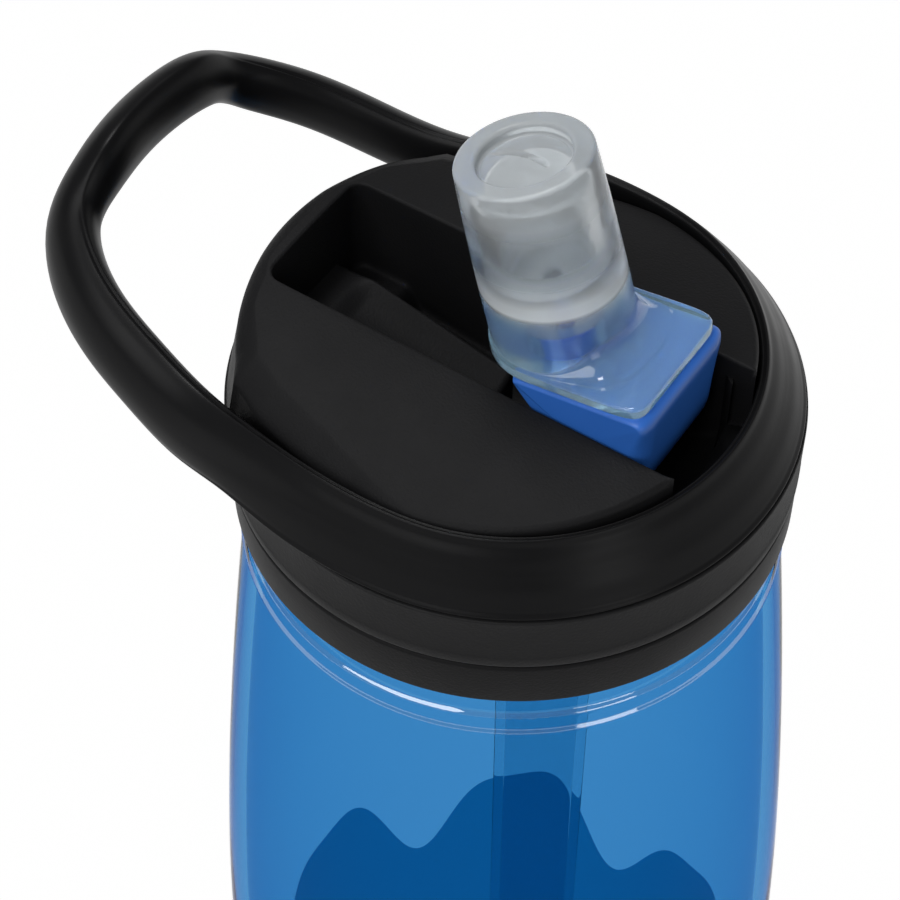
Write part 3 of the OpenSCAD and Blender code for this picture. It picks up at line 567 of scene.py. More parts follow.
# %% Under the cap
STRAW_X, STRAW_R, STRAW_WALL, SPIGOT_L, PASSAGE_R = 5.2, 5.7, 1.3, 10.0, 2.4
FLOOR_LOW = FLOOR_Z.min() - SLOT_WALL
BLOCK_WALLS, BLOCK_INTO, BLOCK_EDGE, BLOCK_POWER, BLOCK_SIDES = 2.0, 0.5, 0.6, 8, 64
BLOCK_LOW = FLOOR_LOW - 2 * PASSAGE_R - BLOCK_WALLS
SPIGOT_PLAY, SPIGOT_EDGE, SPIGOT_ROOT = 0.05, 0.3, 2.0
BOSS_DROP, BOSS_ROOT, BOSS_EDGE = 1.0, 1.5, 0.3
VENT_X, VENT_BOSS_R = -5.0, 4.0


def soft_block(low, high, edge):
    """A box with rounded corners: a superellipse outline, drawn in at its ends by a quarter circle."""
    angle = np.linspace(0, 2 * np.pi, BLOCK_SIDES, endpoint=False)
    cos, sin = np.cos(angle), np.sin(angle)
    reach = (np.abs(cos)**BLOCK_POWER + np.abs(sin)**BLOCK_POWER)**(-1 / BLOCK_POWER)
    bend = quarter(6)
    inset = np.concatenate([[np.inf], edge * (1 - np.sin(bend)), edge * (1 - np.cos(bend)), [np.inf]])
    low_z = low[2] + edge * (1 - np.cos(bend))
    high_z = high[2] - edge * (1 - np.sin(bend))
    z = np.concatenate([[low[2]], low_z, high_z, [high[2]]])
    half = [(high[k] - low[k]) / 2 - np.minimum(inset, (high[k] - low[k]) / 2) for k in (0, 1)]
    x = (low[0] + high[0]) / 2 + half[0][:, None] * reach * cos
    y = (low[1] + high[1]) / 2 + half[1][:, None] * reach * sin
    return np.stack([x, y, np.broadcast_to(z[:, None], x.shape)], -1)


block_half = PASSAGE_R + SLOT_WALL
block = soft_block((STRAW_X - STRAW_R, -block_half, CAP_Z + BLOCK_LOW),
                   (HINGE[0] + block_half, block_half, CAP_Z + FLOOR_LOW + BLOCK_INTO), BLOCK_EDGE)
spigot_r = STRAW_R - STRAW_WALL - SPIGOT_PLAY
spigot_low, spigot_top = BLOCK_LOW - SPIGOT_L, BLOCK_LOW + SPIGOT_ROOT
spigot = ring_path(np.concatenate([
    [[PASSAGE_R, spigot_top], [PASSAGE_R, spigot_low]],
    arc((spigot_r - SPIGOT_EDGE, spigot_low + SPIGOT_EDGE), SPIGOT_EDGE, -90, 0, 4),
    [[spigot_r, spigot_top]]]))
boss_low, boss_top = FLOOR_LOW - BOSS_DROP, FLOOR_LOW + BOSS_ROOT
boss = ring_path([[0, boss_low], [VENT_BOSS_R - BOSS_EDGE, boss_low], [VENT_BOSS_R, boss_low + BOSS_EDGE],
                  [VENT_BOSS_R, boss_top], [0, boss_top]])
cap_parts.append(surface(block, wrap_columns=True))
cap_parts.append(lathe(spigot, 64, (STRAW_X, 0)))
cap_parts.append(lathe(boss, 64, (VENT_X, 0), closed=False))
cap = piece("cap_shell", cap_parts, "cap", "cap_body")

# %% [markdown]
# ## Grip band
#
# A slightly lighter band is pressed round the cap above the skirt. It is turned, with a small bevel at its
# foot and a softened upper edge, so that the groove under it catches a thin dark line.

# %% Grip band
BAND_T, BAND_BEVEL, BAND_EDGE = 2.0, 0.5, 0.25
BAND_STEP, STEP_LOW, STEP_TOP = 0.05, 1.6, 1.7
band_in, band_up = BAND_R - BAND_T, BAND_R - BAND_STEP
band_path = ring_path(np.concatenate([
    [[band_in, BAND_LOW], [band_up - BAND_BEVEL, BAND_LOW]],
    arc((BAND_R - BAND_BEVEL, BAND_LOW + BAND_BEVEL), BAND_BEVEL, -90, 0, 5),
    [[BAND_R, BAND_LOW + STEP_LOW], [band_up, BAND_LOW + STEP_TOP]],
    arc((band_up - BAND_EDGE, BAND_TOP - BAND_EDGE), BAND_EDGE, 0, 90, 4), [[band_in, BAND_TOP]]]))
band = piece("grip_band_shell", [lathe(band_path)], "cap", "grip_band", sharp=50)

# %% [markdown]
# ## Carrying loop
#
# Two sections are blended along the middle line. The ring's has its crest inside, next to the deck, and
# slopes straight out to a lip over the band. The bar's has its crest a little inside and falls in a full
# curve to a flat foot. Both have as many corners, in the same order, so that a weighted mean of the two is
# a sound section everywhere between. A fine groove runs beside the crest, round the ring and along the
# arms, and fades before the bar.

# %% Sections of the loop
RING_SECTION = np.array([
    (-0.36, 1), (-0.28, 0.76), (-0.155, 0.45), (-0.01, 0.02), (0.148, -0.34), (0.262, -0.65),
    (0.328, -0.83), (0.377, -1), (0, -1), (-0.377, -1), (-0.48, -0.8), (-0.5, -0.42),
    (-0.5, 0.14), (-0.497, 0.65), (-0.46, 0.93)])
BAR_SECTION = np.array([
    (-0.21, 1), (0.02, 0.9), (0.23, 0.64), (0.38, 0.28), (0.47, -0.13), (0.5, -0.56),
    (0.48, -0.85), (0.4, -1), (0, -1), (-0.22, -0.93), (-0.4, -0.66), (-0.48, -0.2),
    (-0.48, 0.2), (-0.42, 0.62), (-0.32, 0.91)])
SECTION_STEPS = 8
CREST_GROOVE, RING_GROOVE, BAR_GROOVE, GROOVE_W = 0.26, -0.42, -0.22, 0.024
GROOVE_END, GROOVE_FADE, CREST_SHARE = -47.0, 6.0, 0.6
BAND_REACH, BAND_ROOM = 0.3, 0.13


def smooth_section(corners):
    """A section's corners rounded into a closed curve that passes through them (cardinal spline)."""
    t = (np.arange(SECTION_STEPS) / SECTION_STEPS)[None, :, None]
    before, here, after, beyond = [np.roll(corners, k, 0)[:, None, :] for k in (1, 0, -1, -2)]
    curve = 0.5 * (2 * here + (after - before) * t + (2 * before - 5 * here + 4 * after - beyond) * t**2
                   + (3 * here - before - 3 * after + beyond) * t**3)
    return np.clip(curve.reshape(-1, 2), (-0.5, -1), (0.5, 1))


# %% Carrying loop
bar_share = loop_path[:, 5, None, None]
ring_curve, bar_curve = [smooth_section(corners)[None] for corners in (RING_SECTION, BAR_SECTION)]
section = ring_curve * (1 - bar_share) + bar_curve * bar_share
rise = np.where(section[..., 1] > 0, loop_path[:, 3:4], loop_path[:, 4:5]) * section[..., 1]
groove_at = RING_GROOVE + (BAR_GROOVE - RING_GROOVE) * bar_share[..., 0]
groove = np.exp(-((section[..., 0] - groove_at) / GROOVE_W)**2) * (section[..., 1] > CREST_SHARE)
groove = groove * np.clip((loop_path[:, :1] - GROOVE_END) / GROOVE_FADE, 0, 1)
loop_plan = loop_path[:, None, :2] + loop_out[:, None, :] * (section[..., :1] * BAR_W)
loop_z = loop_path[:, 2:3] + rise - CREST_GROOVE * groove
over_band = np.linalg.norm(loop_plan, axis=-1) < BAND_R + BAND_REACH
loop_z = np.where(over_band, np.maximum(loop_z, BAND_TOP + BAND_ROOM), loop_z)
loop_points = np.concatenate([loop_plan, (loop_z + CAP_Z)[..., None]], -1)
loop = piece("carrying_loop", [surface(loop_points, wrap_rows=True, wrap_columns=True)],
             "cap", "handle_ring", sharp=60)

# %% [markdown]
# ## Spout block
#
# The blue block is a side outline drawn across its width: a barrel round the hinge, a flat seat for the
# soft valve, a rounded nose and a heel behind. Near both sides the outline is drawn in along its normals,
# which rounds the edges, more below than at the seat. A short nozzle on the seat holds the valve.

# %% Frame of the raised spout
SPOUT_TILT, SEAT, BARREL_R, SPOUT_HALF = 9.0, 8.2, 6.3, 7.9
tilt = np.radians(SPOUT_TILT)
SPOUT_AXES = np.array([[np.cos(tilt), 0, np.sin(tilt)], [0, 1, 0], [-np.sin(tilt), 0, np.cos(tilt)]])


def raised(points):
    """Points in the spout's own frame (along the seat, across, above the hinge) at their raised place."""
    return points @ SPOUT_AXES + HINGE


def even_loop(outline, count):
    """A closed polyline sampled at even distances."""
    return even_line(np.concatenate([outline, outline[:1]]), count + 1)[:-1]


# %% Spout block
NOSE_U, NOSE_ROUND, HEEL_U, HEEL_ROUND, HEEL_TURN = 7.8, 1.2, 8.4, 0.6, 160.0
SIDE_ROUND, SEAT_ROUND, ROUND_RUN, SMOOTH, OUTLINE_STEPS = 2.3, 0.7, 8.0, 5, 260
MIDDLE_Y = np.linspace(-5, 5, 5)
front = np.degrees(np.arccos(BARREL_R / np.hypot(NOSE_U, SEAT)) - np.arctan2(SEAT, NOSE_U))
block_outline = np.concatenate([
    arc((NOSE_U - NOSE_ROUND, SEAT - NOSE_ROUND), NOSE_ROUND, -front, 90, 10),
    arc((HEEL_ROUND - HEEL_U, SEAT - HEEL_ROUND), HEEL_ROUND, 90, HEEL_TURN, 6),
    arc((0, 0), BARREL_R, HEEL_TURN, 360 - front, 56)])
block_loop = even_loop(block_outline, OUTLINE_STEPS)
block_loop = np.mean([np.roll(block_loop, k, 0) for k in range(-SMOOTH, SMOOTH + 1)], 0)
ahead = np.roll(block_loop, -2, 0) - np.roll(block_loop, 2, 0)
inward = np.stack([-ahead[:, 1], ahead[:, 0]], 1) / np.linalg.norm(ahead, axis=1, keepdims=True)
below_seat = ease((SEAT - block_loop[:, 1]) / ROUND_RUN)
round_share = (SEAT_ROUND + (SIDE_ROUND - SEAT_ROUND) * below_seat) / SIDE_ROUND
bend = quarter(15)
drawn_in = SIDE_ROUND * (1 - np.sin(bend))
from_side = SPOUT_HALF - SIDE_ROUND * (1 - np.cos(bend))
across = np.concatenate([-from_side, MIDDLE_Y, from_side[::-1]])
inset = np.concatenate([drawn_in, np.zeros_like(MIDDLE_Y), drawn_in[::-1]])
walls = block_loop[None, :, :] + inward[None, :, :] * inset[:, None, None] * round_share[None, :, None]
middle = np.broadcast_to(block_loop.mean(0), (1, len(block_loop), 2))
side_rows = np.concatenate([middle, walls, middle])
side_y = np.concatenate([[-SPOUT_HALF], across, [SPOUT_HALF]])
side_y = np.broadcast_to(side_y[:, None], side_rows.shape[:2])
spout_points = np.stack([side_rows[..., 0], side_y, side_rows[..., 1]], -1)

# %% Nozzle under the mouthpiece
MOUTH_U, MOUTH_LEAN, MOUTH_SIDES = 6.0, np.radians(6.0), 160
NOZZLE_R, NOZZLE_IN, NOZZLE_H, NOZZLE_EDGE, NOZZLE_ROOT = 2.8, 1.6, 2.6, 0.3, -1.5


def on_mouth_axis(r, h, angle):
    """Points round the mouthpiece's leaning axis: radius, height along the axis from the seat, angle."""
    lean = np.array([-np.sin(MOUTH_LEAN), np.cos(MOUTH_LEAN)])
    flat = np.array([np.cos(MOUTH_LEAN), np.sin(MOUTH_LEAN)])
    u = -MOUTH_U + h * lean[0] + r * np.cos(angle) * flat[0]
    v = SEAT + h * lean[1] + r * np.cos(angle) * flat[1]
    return np.stack(np.broadcast_arrays(u, r * np.sin(angle), v), -1)


round_angle = np.linspace(0, 2 * np.pi, MOUTH_SIDES, endpoint=False)[None, :]
nozzle_path = np.concatenate([
    [[NOZZLE_IN, NOZZLE_ROOT]], wall_top(NOZZLE_IN, NOZZLE_R, NOZZLE_H, NOZZLE_EDGE, 3)[::-1],
    [[NOZZLE_R, NOZZLE_ROOT]]])
nozzle_points = on_mouth_axis(nozzle_path[:, :1], nozzle_path[:, 1:], round_angle)
spout = piece("spout_block", [surface(raised(spout_points), wrap_columns=True),
                              surface(raised(nozzle_points), wrap_rows=True, wrap_columns=True)],
              "spout", "spout_body")

# %% [markdown]
# ## Bite valve
#
# The mouthpiece and the plate over the block are one soft moulding. A single surface runs from the membrane
# inside the rim, over the rim, down the tube, through a fillet into the plate, round the plate's edge and
# back up the bore, which narrows above the nozzle and opens into a chamber under the membrane. The plate's
# outline is seen from the tube as a distance that depends on the angle.

# %% Bite valve
MOUTH_FOOT_R, MOUTH_TAPER, PLATE_T, PLATE_HALF, PLATE_U = 7.5, 0.55, 1.2, 7.85, 7.1
RECESS, MOUTH_WALL, MEMBRANE, BORE_R, CHAMBER_Z, PLATE_EDGE = 1.2, 2.6, 2.3, 2.85, 8.4, 0.45
BORE_NECK, BORE_START, BORE_ROOM, UNDER_PLATE = 0.9, 1.0, 0.1, 0.02
TOP, RIM_ROUND, RIM_WALL, DISH, DISH_EDGE = PLATE_T + 21.2, 0.5, 2.2, 0.35, 0.35
PLATE_POWER, EDGE_SHARE, EDGE_LEAST = 12, 0.8, 0.02
FILLET_SHARE, FILLET_LEAST, FILLET_MOST = 0.55, 0.05, 3.0
SLIT_X, SLIT_Y, SLIT_BOW, SLIT_DEEP, SLIT_W, SLIT_HALF, SLIT_FADE = -0.8, 0.9, 0.07, 0.5, 0.22, 3.4, 0.8
NECK_EDGE, CHAMBER_FOOT, CHAMBER_ROOF = 0.3, 0.6, 0.8


def mouth_radius(h):
    """Outer radius of the tube at a height along its axis: a straight taper."""
    return MOUTH_FOOT_R - MOUTH_TAPER * h / TOP


def plate_outline(angle):
    """Distance from the tube's foot to the plate's outline: half a circle behind, a rounded box in front."""
    ahead = np.clip(np.cos(angle), 0, None) / (PLATE_U + MOUTH_U)
    aside = np.abs(np.sin(angle) / PLATE_HALF)
    boxed = (aside**PLATE_POWER + ahead**PLATE_POWER)**(-1 / PLATE_POWER)
    return np.where(np.cos(angle) < 0, PLATE_HALF, boxed)


def slit_groove(x, y):
    """Depth of the curved slit in the membrane: a narrow bell across the distance to a shallow arch."""
    off = y - SLIT_Y + SLIT_BOW * (x - SLIT_X)**2
    ends = np.clip((SLIT_HALF - np.abs(x - SLIT_X)) / SLIT_FADE, 0, 1)
    return SLIT_DEEP * np.exp(-(off / SLIT_W)**2) * ends


def foot_fillet(angle):
    """Radius of the fillet between tube and plate: wide in front, almost none at the sides and behind."""
    return np.clip((plate_outline(angle) - MOUTH_FOOT_R) * FILLET_SHARE, FILLET_LEAST, FILLET_MOST)


def valve_rows(angle):
    """Rows of points from the membrane's middle over the rim and down the tube to the plate."""
    tip_r = mouth_radius(TOP)
    recess_r = tip_r - RIM_WALL
    rows = []
    for r in np.linspace(0, recess_r - DISH_EDGE, 26):
        dish = DISH * (1 - (r / recess_r)**2)
        groove = slit_groove(r * np.cos(angle), r * np.sin(angle))
        rows.append(on_mouth_axis(r, TOP - RECESS + dish - groove, angle))
    profile = np.concatenate([
        arc((recess_r - DISH_EDGE, TOP - RECESS + DISH_EDGE), DISH_EDGE, -80, 0, 5),
        wall_top(recess_r, tip_r, TOP, RIM_ROUND, 6)[::-1]])
    rows += [on_mouth_axis(r, h, angle) for r, h in profile]
    fillet = foot_fillet(angle)
    foot_r = mouth_radius(PLATE_T)
    foot = (PLATE_T - foot_r * np.cos(angle) * np.sin(MOUTH_LEAN)) / np.cos(MOUTH_LEAN)
    start = TOP - RIM_ROUND
    for share in np.linspace(0, 1, 26)[1:]:
        h = start + (foot + fillet - start) * share
        rows.append(on_mouth_axis(mouth_radius(h) * (1 - share) + foot_r * share, h, angle))
    for bend in quarter(12)[1:]:
        out, up = 1 - np.cos(bend), 1 - np.sin(bend)
        rows.append(on_mouth_axis(foot_r + fillet * out, foot + fillet * up, angle))
    return rows


def plate_rows(angle):
    """Rows over the plate's top, round its edge, along its underside and up the bore to the membrane."""
    reach = plate_outline(angle)
    inner = mouth_radius(PLATE_T) + foot_fillet(angle)
    edge = np.clip((reach - inner) * EDGE_SHARE, EDGE_LEAST, PLATE_EDGE)

    def flat(r, v):
        """Points at a distance from the tube's foot and a height above the hinge."""
        return np.stack(np.broadcast_arrays(-MOUTH_U + r * np.cos(angle), r * np.sin(angle), v), -1)

    top_shares = np.linspace(0, 1, 12)[1:]
    rows = [flat(inner + (reach - edge - inner) * share, SEAT + PLATE_T) for share in top_shares]
    for bend in quarter(6)[1:]:
        rows.append(flat(reach - edge * (1 - np.sin(bend)), SEAT + PLATE_T - edge * (1 - np.cos(bend))))
    rows += [flat(r, SEAT + UNDER_PLATE) for r in (reach, (reach + BORE_R) / 2, BORE_R)]
    under = TOP - RECESS - MEMBRANE
    low_r, high_r = mouth_radius(CHAMBER_Z) - MOUTH_WALL, mouth_radius(under) - MOUTH_WALL
    bore = [[BORE_R, BORE_START], [BORE_R, NOZZLE_H + BORE_ROOM], [BORE_NECK, NOZZLE_H + 2 * BORE_ROOM]]
    chamber = np.concatenate([
        bore, arc((BORE_NECK + NECK_EDGE, CHAMBER_Z - NECK_EDGE), NECK_EDGE, 180, 90, 3),
        arc((low_r - CHAMBER_FOOT, CHAMBER_Z + CHAMBER_FOOT), CHAMBER_FOOT, -90, 0, 5),
        stretch((low_r, CHAMBER_Z + 1), (high_r, under - CHAMBER_ROOF), 8),
        arc((high_r - CHAMBER_ROOF, under - CHAMBER_ROOF), CHAMBER_ROOF, 0, 90, 5),
        [[1.5, under], [0, under]]])
    return rows + [on_mouth_axis(r, h, angle) for r, h in chamber]


valve_points = np.concatenate(valve_rows(round_angle) + plate_rows(round_angle))
valve = piece("bite_valve_soft", [surface(raised(valve_points), wrap_columns=True)],
              "spout", "bite_valve")

# %% [markdown]
# ## Straw
#
# The straw pushes onto the socket under the cap and reaches almost to the base. It is a turned tube with
# rounded ends.

# %% Straw
STRAW_EDGE, STRAW_GAP, STRAW_CLEAR = 0.4, 0.1, 5.0
straw_top, straw_low = CAP_Z + BLOCK_LOW - STRAW_GAP, BASE_WALL + STRAW_CLEAR
straw_in = STRAW_R - STRAW_WALL
upper_end = wall_top(straw_in, STRAW_R, straw_top, STRAW_EDGE, 4)
lower_end = wall_top(straw_in, STRAW_R, -straw_low, STRAW_EDGE, 4)[::-1] * [1, -1]
straw = piece("straw_tube", [lathe(np.concatenate([upper_end, lower_end]), 72, (STRAW_X, 0))],
              "cap", "straw")

# %% [markdown]
# ## Finishes
#
# Each finish is a small node tree on Object coordinates. Moulded plastic has a base colour that drifts a
# little, a roughness that varies, and a fine grain as bump. Values that are the same all over sit on the
# shader's own sockets.

# %% Node helpers
class Finish:
    """A material with a Principled shader and short calls to add and join nodes."""

    def __init__(self, name):
        self.material = bpy.data.materials.new(name)
        self.material.use_nodes = True
        self.tree = self.material.node_tree
        self.shader = self.tree.nodes["Principled BSDF"]
        self.place = self.node("ShaderNodeTexCoord").outputs["Object"]

    def node(self, kind, **settings):
        made = self.tree.nodes.new(kind)
        for key, value in settings.items():
            setattr(made, key, value)
        return made

    def join(self, source, target):
        self.tree.links.new(source, target)

    def set(self, **sockets):
        for key, value in sockets.items():
            self.shader.inputs[key.replace("_", " ")].default_value = value
        return self

    def noise(self, scale, detail=3.0, roughness=0.5):
        made = self.node("ShaderNodeTexNoise")
        made.inputs["Scale"].default_value = scale
        made.inputs["Detail"].default_value = detail
        made.inputs["Roughness"].default_value = roughness
        self.join(self.place, made.inputs["Vector"])
        return made.outputs["Fac"]

    def spread(self, value, low, high, target):
        """Maps a value from 0..1 to low..high on a socket."""
        made = self.node("ShaderNodeMapRange")
        made.inputs["To Min"].default_value = low
        made.inputs["To Max"].default_value = high
        self.join(value, made.inputs["Value"])
        self.join(made.outputs["Result"], self.shader.inputs[target])

    def share(self, value, low, high):
        """Share from 0 to 1 of a value between two limits."""
        made = self.node("ShaderNodeMapRange")
        made.inputs["From Min"].default_value = low
        made.inputs["From Max"].default_value = high
        self.join(value, made.inputs["Value"])
        return made.outputs["Result"]

    def tones(self, value, dark, light):
        """Base colour between two tones."""
        self.steps(value, (0.3, 0.7), (dark, light), "Base Color")

    def steps(self, value, places, colours, target):
        """A colour ramp with a stop at each place, on a socket."""
        made = self.node("ShaderNodeValToRGB")
        stops = made.color_ramp.elements
        while len(stops) < len(places):
            stops.new(0.5)
        for stop, place_at, colour in zip(stops, places, colours):
            stop.position = place_at
            stop.color = (*colour, 1)
        self.join(value, made.inputs["Fac"])
        self.join(made.outputs["Color"], self.shader.inputs[target])

    def grain(self, value, strength, distance):
        made = self.node("ShaderNodeBump")
        made.inputs["Strength"].default_value = strength
        made.inputs["Distance"].default_value = distance
        self.join(value, made.inputs["Height"])
        self.join(made.outputs["Normal"], self.shader.inputs["Normal"])

    def on(self, *things):
        for thing in things:
            thing.data.materials.clear()
            thing.data.materials.append(self.material)
        print(self.material.name, "on", [thing.name for thing in things])


def linear(red, green, blue):
    """A colour written as screen values 0 to 255, as the linear values that the shader takes."""
    c = np.array([red, green, blue]) / 255
    return tuple(np.where(c < 0.04045, c / 12.92, ((c + 0.055) / 1.055)**2.4))


def math(finish, operation, a, b=0.0, c=0.0):
    """One Math node; a, b and c are sockets or numbers."""
    made = finish.node("ShaderNodeMath", operation=operation)
    for socket, value in zip(made.inputs, (a, b, c)):
        if isinstance(value, (int, float)):
            socket.default_value = value
        else:
            finish.join(value, socket)
    return made.outputs["Value"]


# %% [markdown]
# The cap, the band and the loop are moulded from black plastic. The cap and the band come from eroded
# moulds, so they have a fine grain and little gloss; the loop is smoother and shows soft highlights. One
# function gives all three, because only its numbers differ.

# %% Black mouldings
def black_plastic(name, dark, light, rough, grain_size, grain_depth, specular):
    """Dyed plastic: a slow drift of tone, a roughness that varies and a grain of the given size in metres."""
    made = Finish(name).set(Specular_IOR_Level=specular)
    made.tones(made.noise(40, 2), dark, light)
    made.spread(made.noise(220, 3), rough - 0.05, rough + 0.06, "Roughness")
    made.grain(made.noise(1 / grain_size, 2, 0.6), 0.5, grain_depth)
    return made


black_plastic("cap_grain", linear(22, 22, 23), linear(29, 29, 30), 0.5, 0.00028, 0.0001, 0.07).on(cap)
black_plastic("band_grain", linear(20, 20, 21), linear(27, 27, 28), 0.55, 0.00035, 0.00012, 0.15).on(band)
black_plastic("loop_satin", linear(15, 15, 16), linear(19, 19, 20), 0.34, 0.0006, 0.00001, 0.1).on(loop)

# %% [markdown]
# The spout block is opaque blue plastic with a satin face. A shallow grain keeps its highlight soft.

# %% Blue spout
blue = Finish("spout_satin").set(Specular_IOR_Level=0.4)
blue.tones(blue.noise(60, 2), linear(46, 104, 194), linear(51, 111, 202))
blue.spread(blue.noise(300, 3), 0.3, 0.4, "Roughness")
blue.grain(blue.noise(2500, 2), 0.3, 0.00001)
blue.on(spout)

# %% [markdown]
# The soft valve is clear silicone. How it looks changes along its axis: a glossy plate, a clear foot that
# takes up the block's blue, a milky ring where the chamber begins, and a frosted tube. The blue of plate and
# foot is painted into their base colour, as painted light from the lit block under them, and the ring is made
# near white as a painted highlight of the chamber's floor. So each of clearness, blur, gloss and tint is a
# ramp with stops at the same heights above the seat.

# %% Soft clear valve
soft = Finish("soft_silicone").set(IOR=1.26, Coat_Roughness=0.06)
along_axis = soft.node("ShaderNodeVectorMath", operation="DOT_PRODUCT")
along_axis.inputs[1].default_value = tuple(SPOUT_AXES[2])
soft.join(soft.place, along_axis.inputs[0])
SEAT_AT = float(HINGE @ SPOUT_AXES[2] + SEAT) * MM
HEIGHTS = np.array([0.0, 2.4, 3.4, 6.0, 7.0, 7.8, 8.2, 9.4, 12.4, 16.0, 18.8, 22.0])
# Low clearness at 8.2 and 9.4 mm turns the tube milky there, and near-white greys in the tint make it a
# painted highlight ring where the chamber begins.
CLEARNESS = [0.84, 0.84, 0.9, 0.9, 0.86, 0.7, 0.22, 0.3, 0.84, 0.84, 0.6, 0.6]
BLUR = [0.08, 0.08, 0.25, 0.25, 0.25, 0.22, 0.25, 0.25, 0.22, 0.22, 0.18, 0.18]
GLOSS = [0.8, 0.8, 0.3, 0.1, 0.0, 0.0, 0.0, 0.0, 0.0, 0.0, 0.0, 0.0]
# The plate's and the foot's base colours are blue: painted light that stands in for the lit blue block seen
# through them.
PLATE_PAINTED_BLUE, FOOT_PAINTED_BLUE, STEP_PAINTED_BLUE = (0.5, 0.79, 0.97), (0.28, 0.46, 0.82), (0.46, 0.6, 0.82)
# The greys at 8.2 and 9.4 mm are near white: a painted highlight ring over the chamber's floor.
TUBE_GREYS_AND_PAINTED_RING, COOL = [0.8, 0.97, 0.97, 0.64, 0.67, 0.73, 0.76], (0.95, 1.03)
height_above = soft.share(along_axis.outputs["Value"], SEAT_AT, SEAT_AT + TOP * MM)
for values, socket in ((CLEARNESS, "Transmission Weight"), (BLUR, "Roughness"), (GLOSS, "Coat Weight")):
    soft.steps(height_above, HEIGHTS / TOP, [(value,) * 3 for value in values], socket)
tube_tints_and_painted_ring = [(COOL[0] * shade, shade, COOL[1] * shade) for shade in TUBE_GREYS_AND_PAINTED_RING]
valve_tints_and_painted_light = [PLATE_PAINTED_BLUE, PLATE_PAINTED_BLUE, FOOT_PAINTED_BLUE, FOOT_PAINTED_BLUE, STEP_PAINTED_BLUE] + tube_tints_and_painted_ring
soft.steps(height_above, HEIGHTS / TOP, valve_tints_and_painted_light, "Base Color")
soft.grain(math(soft, "MULTIPLY_ADD", soft.noise(170, 1), 4.0, soft.noise(500, 2)), 0.5, 0.0001)
soft.on(valve)

# %% [markdown]
# The clear body takes its colour from the plastic itself: the wall absorbs more where light goes a longer
# way through it, as near the sides, and both faces tint what passes. Only the upper flanks of the two fine
# rings are glossy, which draws them as bright lines. A band of rolling waves is printed round the lower
# half in a darker blue. The print is a change of tint on the outer face, below a wavy edge worked out from
# the angle round the axis.

# %% Clear body with a printed band of waves
PRINT_TOP, PRINT_LOW, WAVE_HEIGHT, WAVES, RIPPLE, RIPPLE_SHIFT = 0.081, 0.030, 0.010, 7, 0.3, 1.1
CLEAR_TINT, PRINT_TINT = (0.265, 0.54, 0.767, 1), (0.0008, 0.075, 0.22, 1)
WALL_COLOUR, WALL_DENSITY = (0.09, 0.56, 0.8, 1), 78.0
BEAD_ZONE, FLANK = 9.0, (0.06, 0.14, 0.46, 0.54)
clear = Finish("clear_tint").set(Transmission_Weight=1.0, IOR=1.015, Coat_Roughness=0.04, Coat_IOR=2.2)
clear_place = clear.node("ShaderNodeSeparateXYZ")
clear.join(clear.place, clear_place.inputs["Vector"])
turn = math(clear, "ARCTAN2", clear_place.outputs["Y"], clear_place.outputs["X"])
swell = math(clear, "SINE", math(clear, "MULTIPLY", turn, WAVES))
ripple = math(clear, "SINE", math(clear, "MULTIPLY_ADD", turn, 2 * WAVES, RIPPLE_SHIFT))
upper = math(clear, "MULTIPLY_ADD", swell, WAVE_HEIGHT, PRINT_TOP)
upper = math(clear, "MULTIPLY_ADD", ripple, WAVE_HEIGHT * RIPPLE, upper)
under_edge = math(clear, "LESS_THAN", clear_place.outputs["Z"], upper)
above_foot = math(clear, "GREATER_THAN", clear_place.outputs["Z"], PRINT_LOW)
outer = clear.node("ShaderNodeAttribute", attribute_name="outer_face")
printed = math(clear, "MULTIPLY", math(clear, "MULTIPLY", under_edge, above_foot), outer.outputs["Fac"])
tint = clear.node("ShaderNodeMix", data_type="RGBA")
tint.inputs["A"].default_value = CLEAR_TINT
tint.inputs["B"].default_value = PRINT_TINT
clear.join(printed, tint.inputs["Factor"])
clear.join(tint.outputs["Result"], clear.shader.inputs["Base Color"])
clear.spread(clear.noise(120, 2), 0.0, 0.02, "Roughness")
clear.grain(clear.noise(35, 2), 0.15, 0.0002)
bead_share = clear.share(clear_place.outputs["Z"], (CAP_Z - BEAD_ZONE) * MM, CAP_Z * MM)
flanks = [(BEAD_ZONE - depth + rise) / BEAD_ZONE for depth in BEAD_DEPTHS[::-1] for rise in FLANK]
clear.steps(bead_share, flanks, [(gloss,) * 3 for gloss in (0, 1, 1, 0) * 2], "Coat Weight")
absorbing = clear.node("ShaderNodeVolumeAbsorption")
absorbing.inputs["Color"].default_value = WALL_COLOUR
absorbing.inputs["Density"].default_value = WALL_DENSITY
clear.join(absorbing.outputs["Volume"], clear.tree.nodes["Material Output"].inputs["Volume"])
clear.on(bottle)

# %% [markdown]
# The straw is clear plastic seen through the body, so it hardly bends light and only tints it. The seals,
# the air valve and the pins keep their solids, whose shapes are right, and get a grey silicone finish.

# %% Straw and inner pieces
tube = Finish("straw_clear").set(Transmission_Weight=1.0, IOR=1.001, Base_Color=(0.6, 0.8, 0.86, 1))
tube.spread(tube.noise(150, 2), 0.02, 0.08, "Roughness")
tube.on(straw)
grey = Finish("seal_silicone").set(Specular_IOR_Level=0.35)
grey.tones(grey.noise(300, 2), (0.45, 0.47, 0.48), (0.52, 0.54, 0.55))
grey.spread(grey.noise(900, 3), 0.45, 0.6, "Roughness")
grey.grain(grey.noise(2000, 2), 0.3, 0.00002)
grey.on(*[frame["nodes"][name] for name in ("cap_gasket", "vent_valve", "port_seal", "spout_pins")])

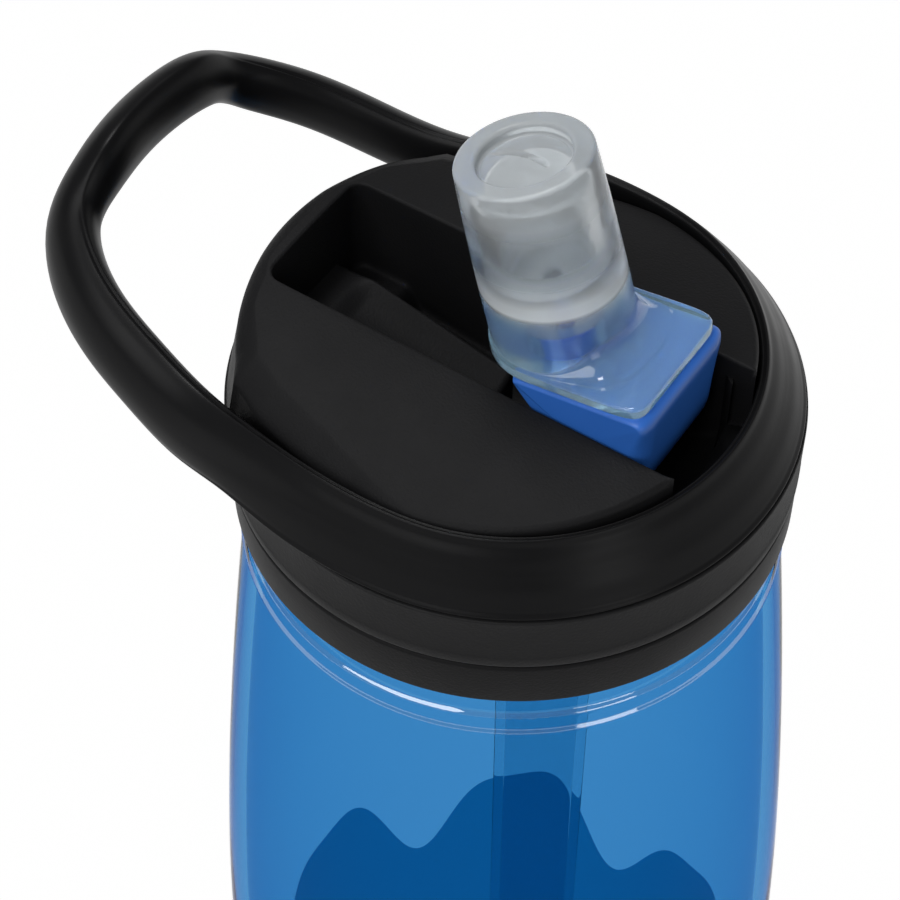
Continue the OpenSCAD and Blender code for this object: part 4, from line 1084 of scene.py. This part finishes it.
# %% [markdown]
# ## Stage
#
# A pale floor that bends up into a backdrop, a large soft lamp in front, a small one above and a weak one
# at the right. The white comes from the colour of floor and backdrop as the camera, reflections and clear
# plastic see them, so no extra light falls on the object. The room above the backdrop is a plain grey.

# %% Floor and backdrop
STAGE_R, STAGE_BEND, STAGE_TOP, STAGE_SIDES = 3.0, 0.5, 0.9, 96
FLOOR_GREY, ROOM_GREY, GLOW_SHARE, GLOW = (0.8, 0.8, 0.8, 1), (0.2, 0.2, 0.2, 1), 0.75, 1.33


def seen_white(finish, share, strength):
    """Mixes a white glow over a surface for camera, glossy and transmitted rays; the rest stays shaded."""
    rays = finish.node("ShaderNodeLightPath").outputs
    seen = math(finish, "MAXIMUM", rays["Is Camera Ray"], rays["Is Glossy Ray"])
    seen = math(finish, "MAXIMUM", seen, rays["Is Transmission Ray"])
    glow = finish.node("ShaderNodeEmission")
    glow.inputs["Strength"].default_value = strength
    mix = finish.node("ShaderNodeMixShader")
    finish.join(math(finish, "MULTIPLY", seen, share), mix.inputs[0])
    finish.join(finish.shader.outputs[0], mix.inputs[1])
    finish.join(glow.outputs[0], mix.inputs[2])
    finish.join(mix.outputs[0], finish.tree.nodes["Material Output"].inputs["Surface"])


stage_bend = arc((STAGE_R - STAGE_BEND, STAGE_BEND), STAGE_BEND, -90, 0, 10)
stage_points, stage_faces = lathe([*stage_bend, (STAGE_R, STAGE_TOP)], STAGE_SIDES, closed=False)
floor_mesh = bpy.data.meshes.new("floor")
floor_mesh.from_pydata(stage_points.tolist(), [], stage_faces.tolist() + [list(range(STAGE_SIDES))])
floor_mesh.shade_smooth()
floor = bpy.data.objects.new("floor", floor_mesh)
bpy.context.scene.collection.objects.link(floor)
floor_finish = Finish("floor_pale").set(Base_Color=FLOOR_GREY, Roughness=0.9)
seen_white(floor_finish, GLOW_SHARE, GLOW)
floor_finish.on(floor)
world = bpy.data.worlds.new("surround")
bpy.context.scene.world = world
world.use_nodes = True
world.node_tree.nodes["Background"].inputs["Color"].default_value = ROOM_GREY

# %% Lamps
def soft_lamp(name, place, target, size, power):
    """A square area lamp that faces a target."""
    lamp = bpy.data.objects.new(name, bpy.data.lights.new(name, "AREA"))
    lamp.data.shape = "SQUARE"
    lamp.data.size = size
    lamp.data.energy = power
    lamp.location = place
    lamp.rotation_euler = (Vector(target) - Vector(place)).to_track_quat("-Z", "Y").to_euler()
    bpy.context.scene.collection.objects.link(lamp)
    print(name, "size", size, "power", power)


CAP_MIDDLE = (0, 0, 0.23)
soft_lamp("lamp_front", (-0.12, -0.86, 1.19), CAP_MIDDLE, 0.9, 10.0)
soft_lamp("lamp_top", (-0.3, 0.15, 1.15), CAP_MIDDLE, 0.3, 4.5)
soft_lamp("lamp_right", (1.0, -0.45, 0.6), CAP_MIDDLE, 0.4, 1.5)

# %% Output
bpy.context.scene.view_settings.view_transform = "Standard"
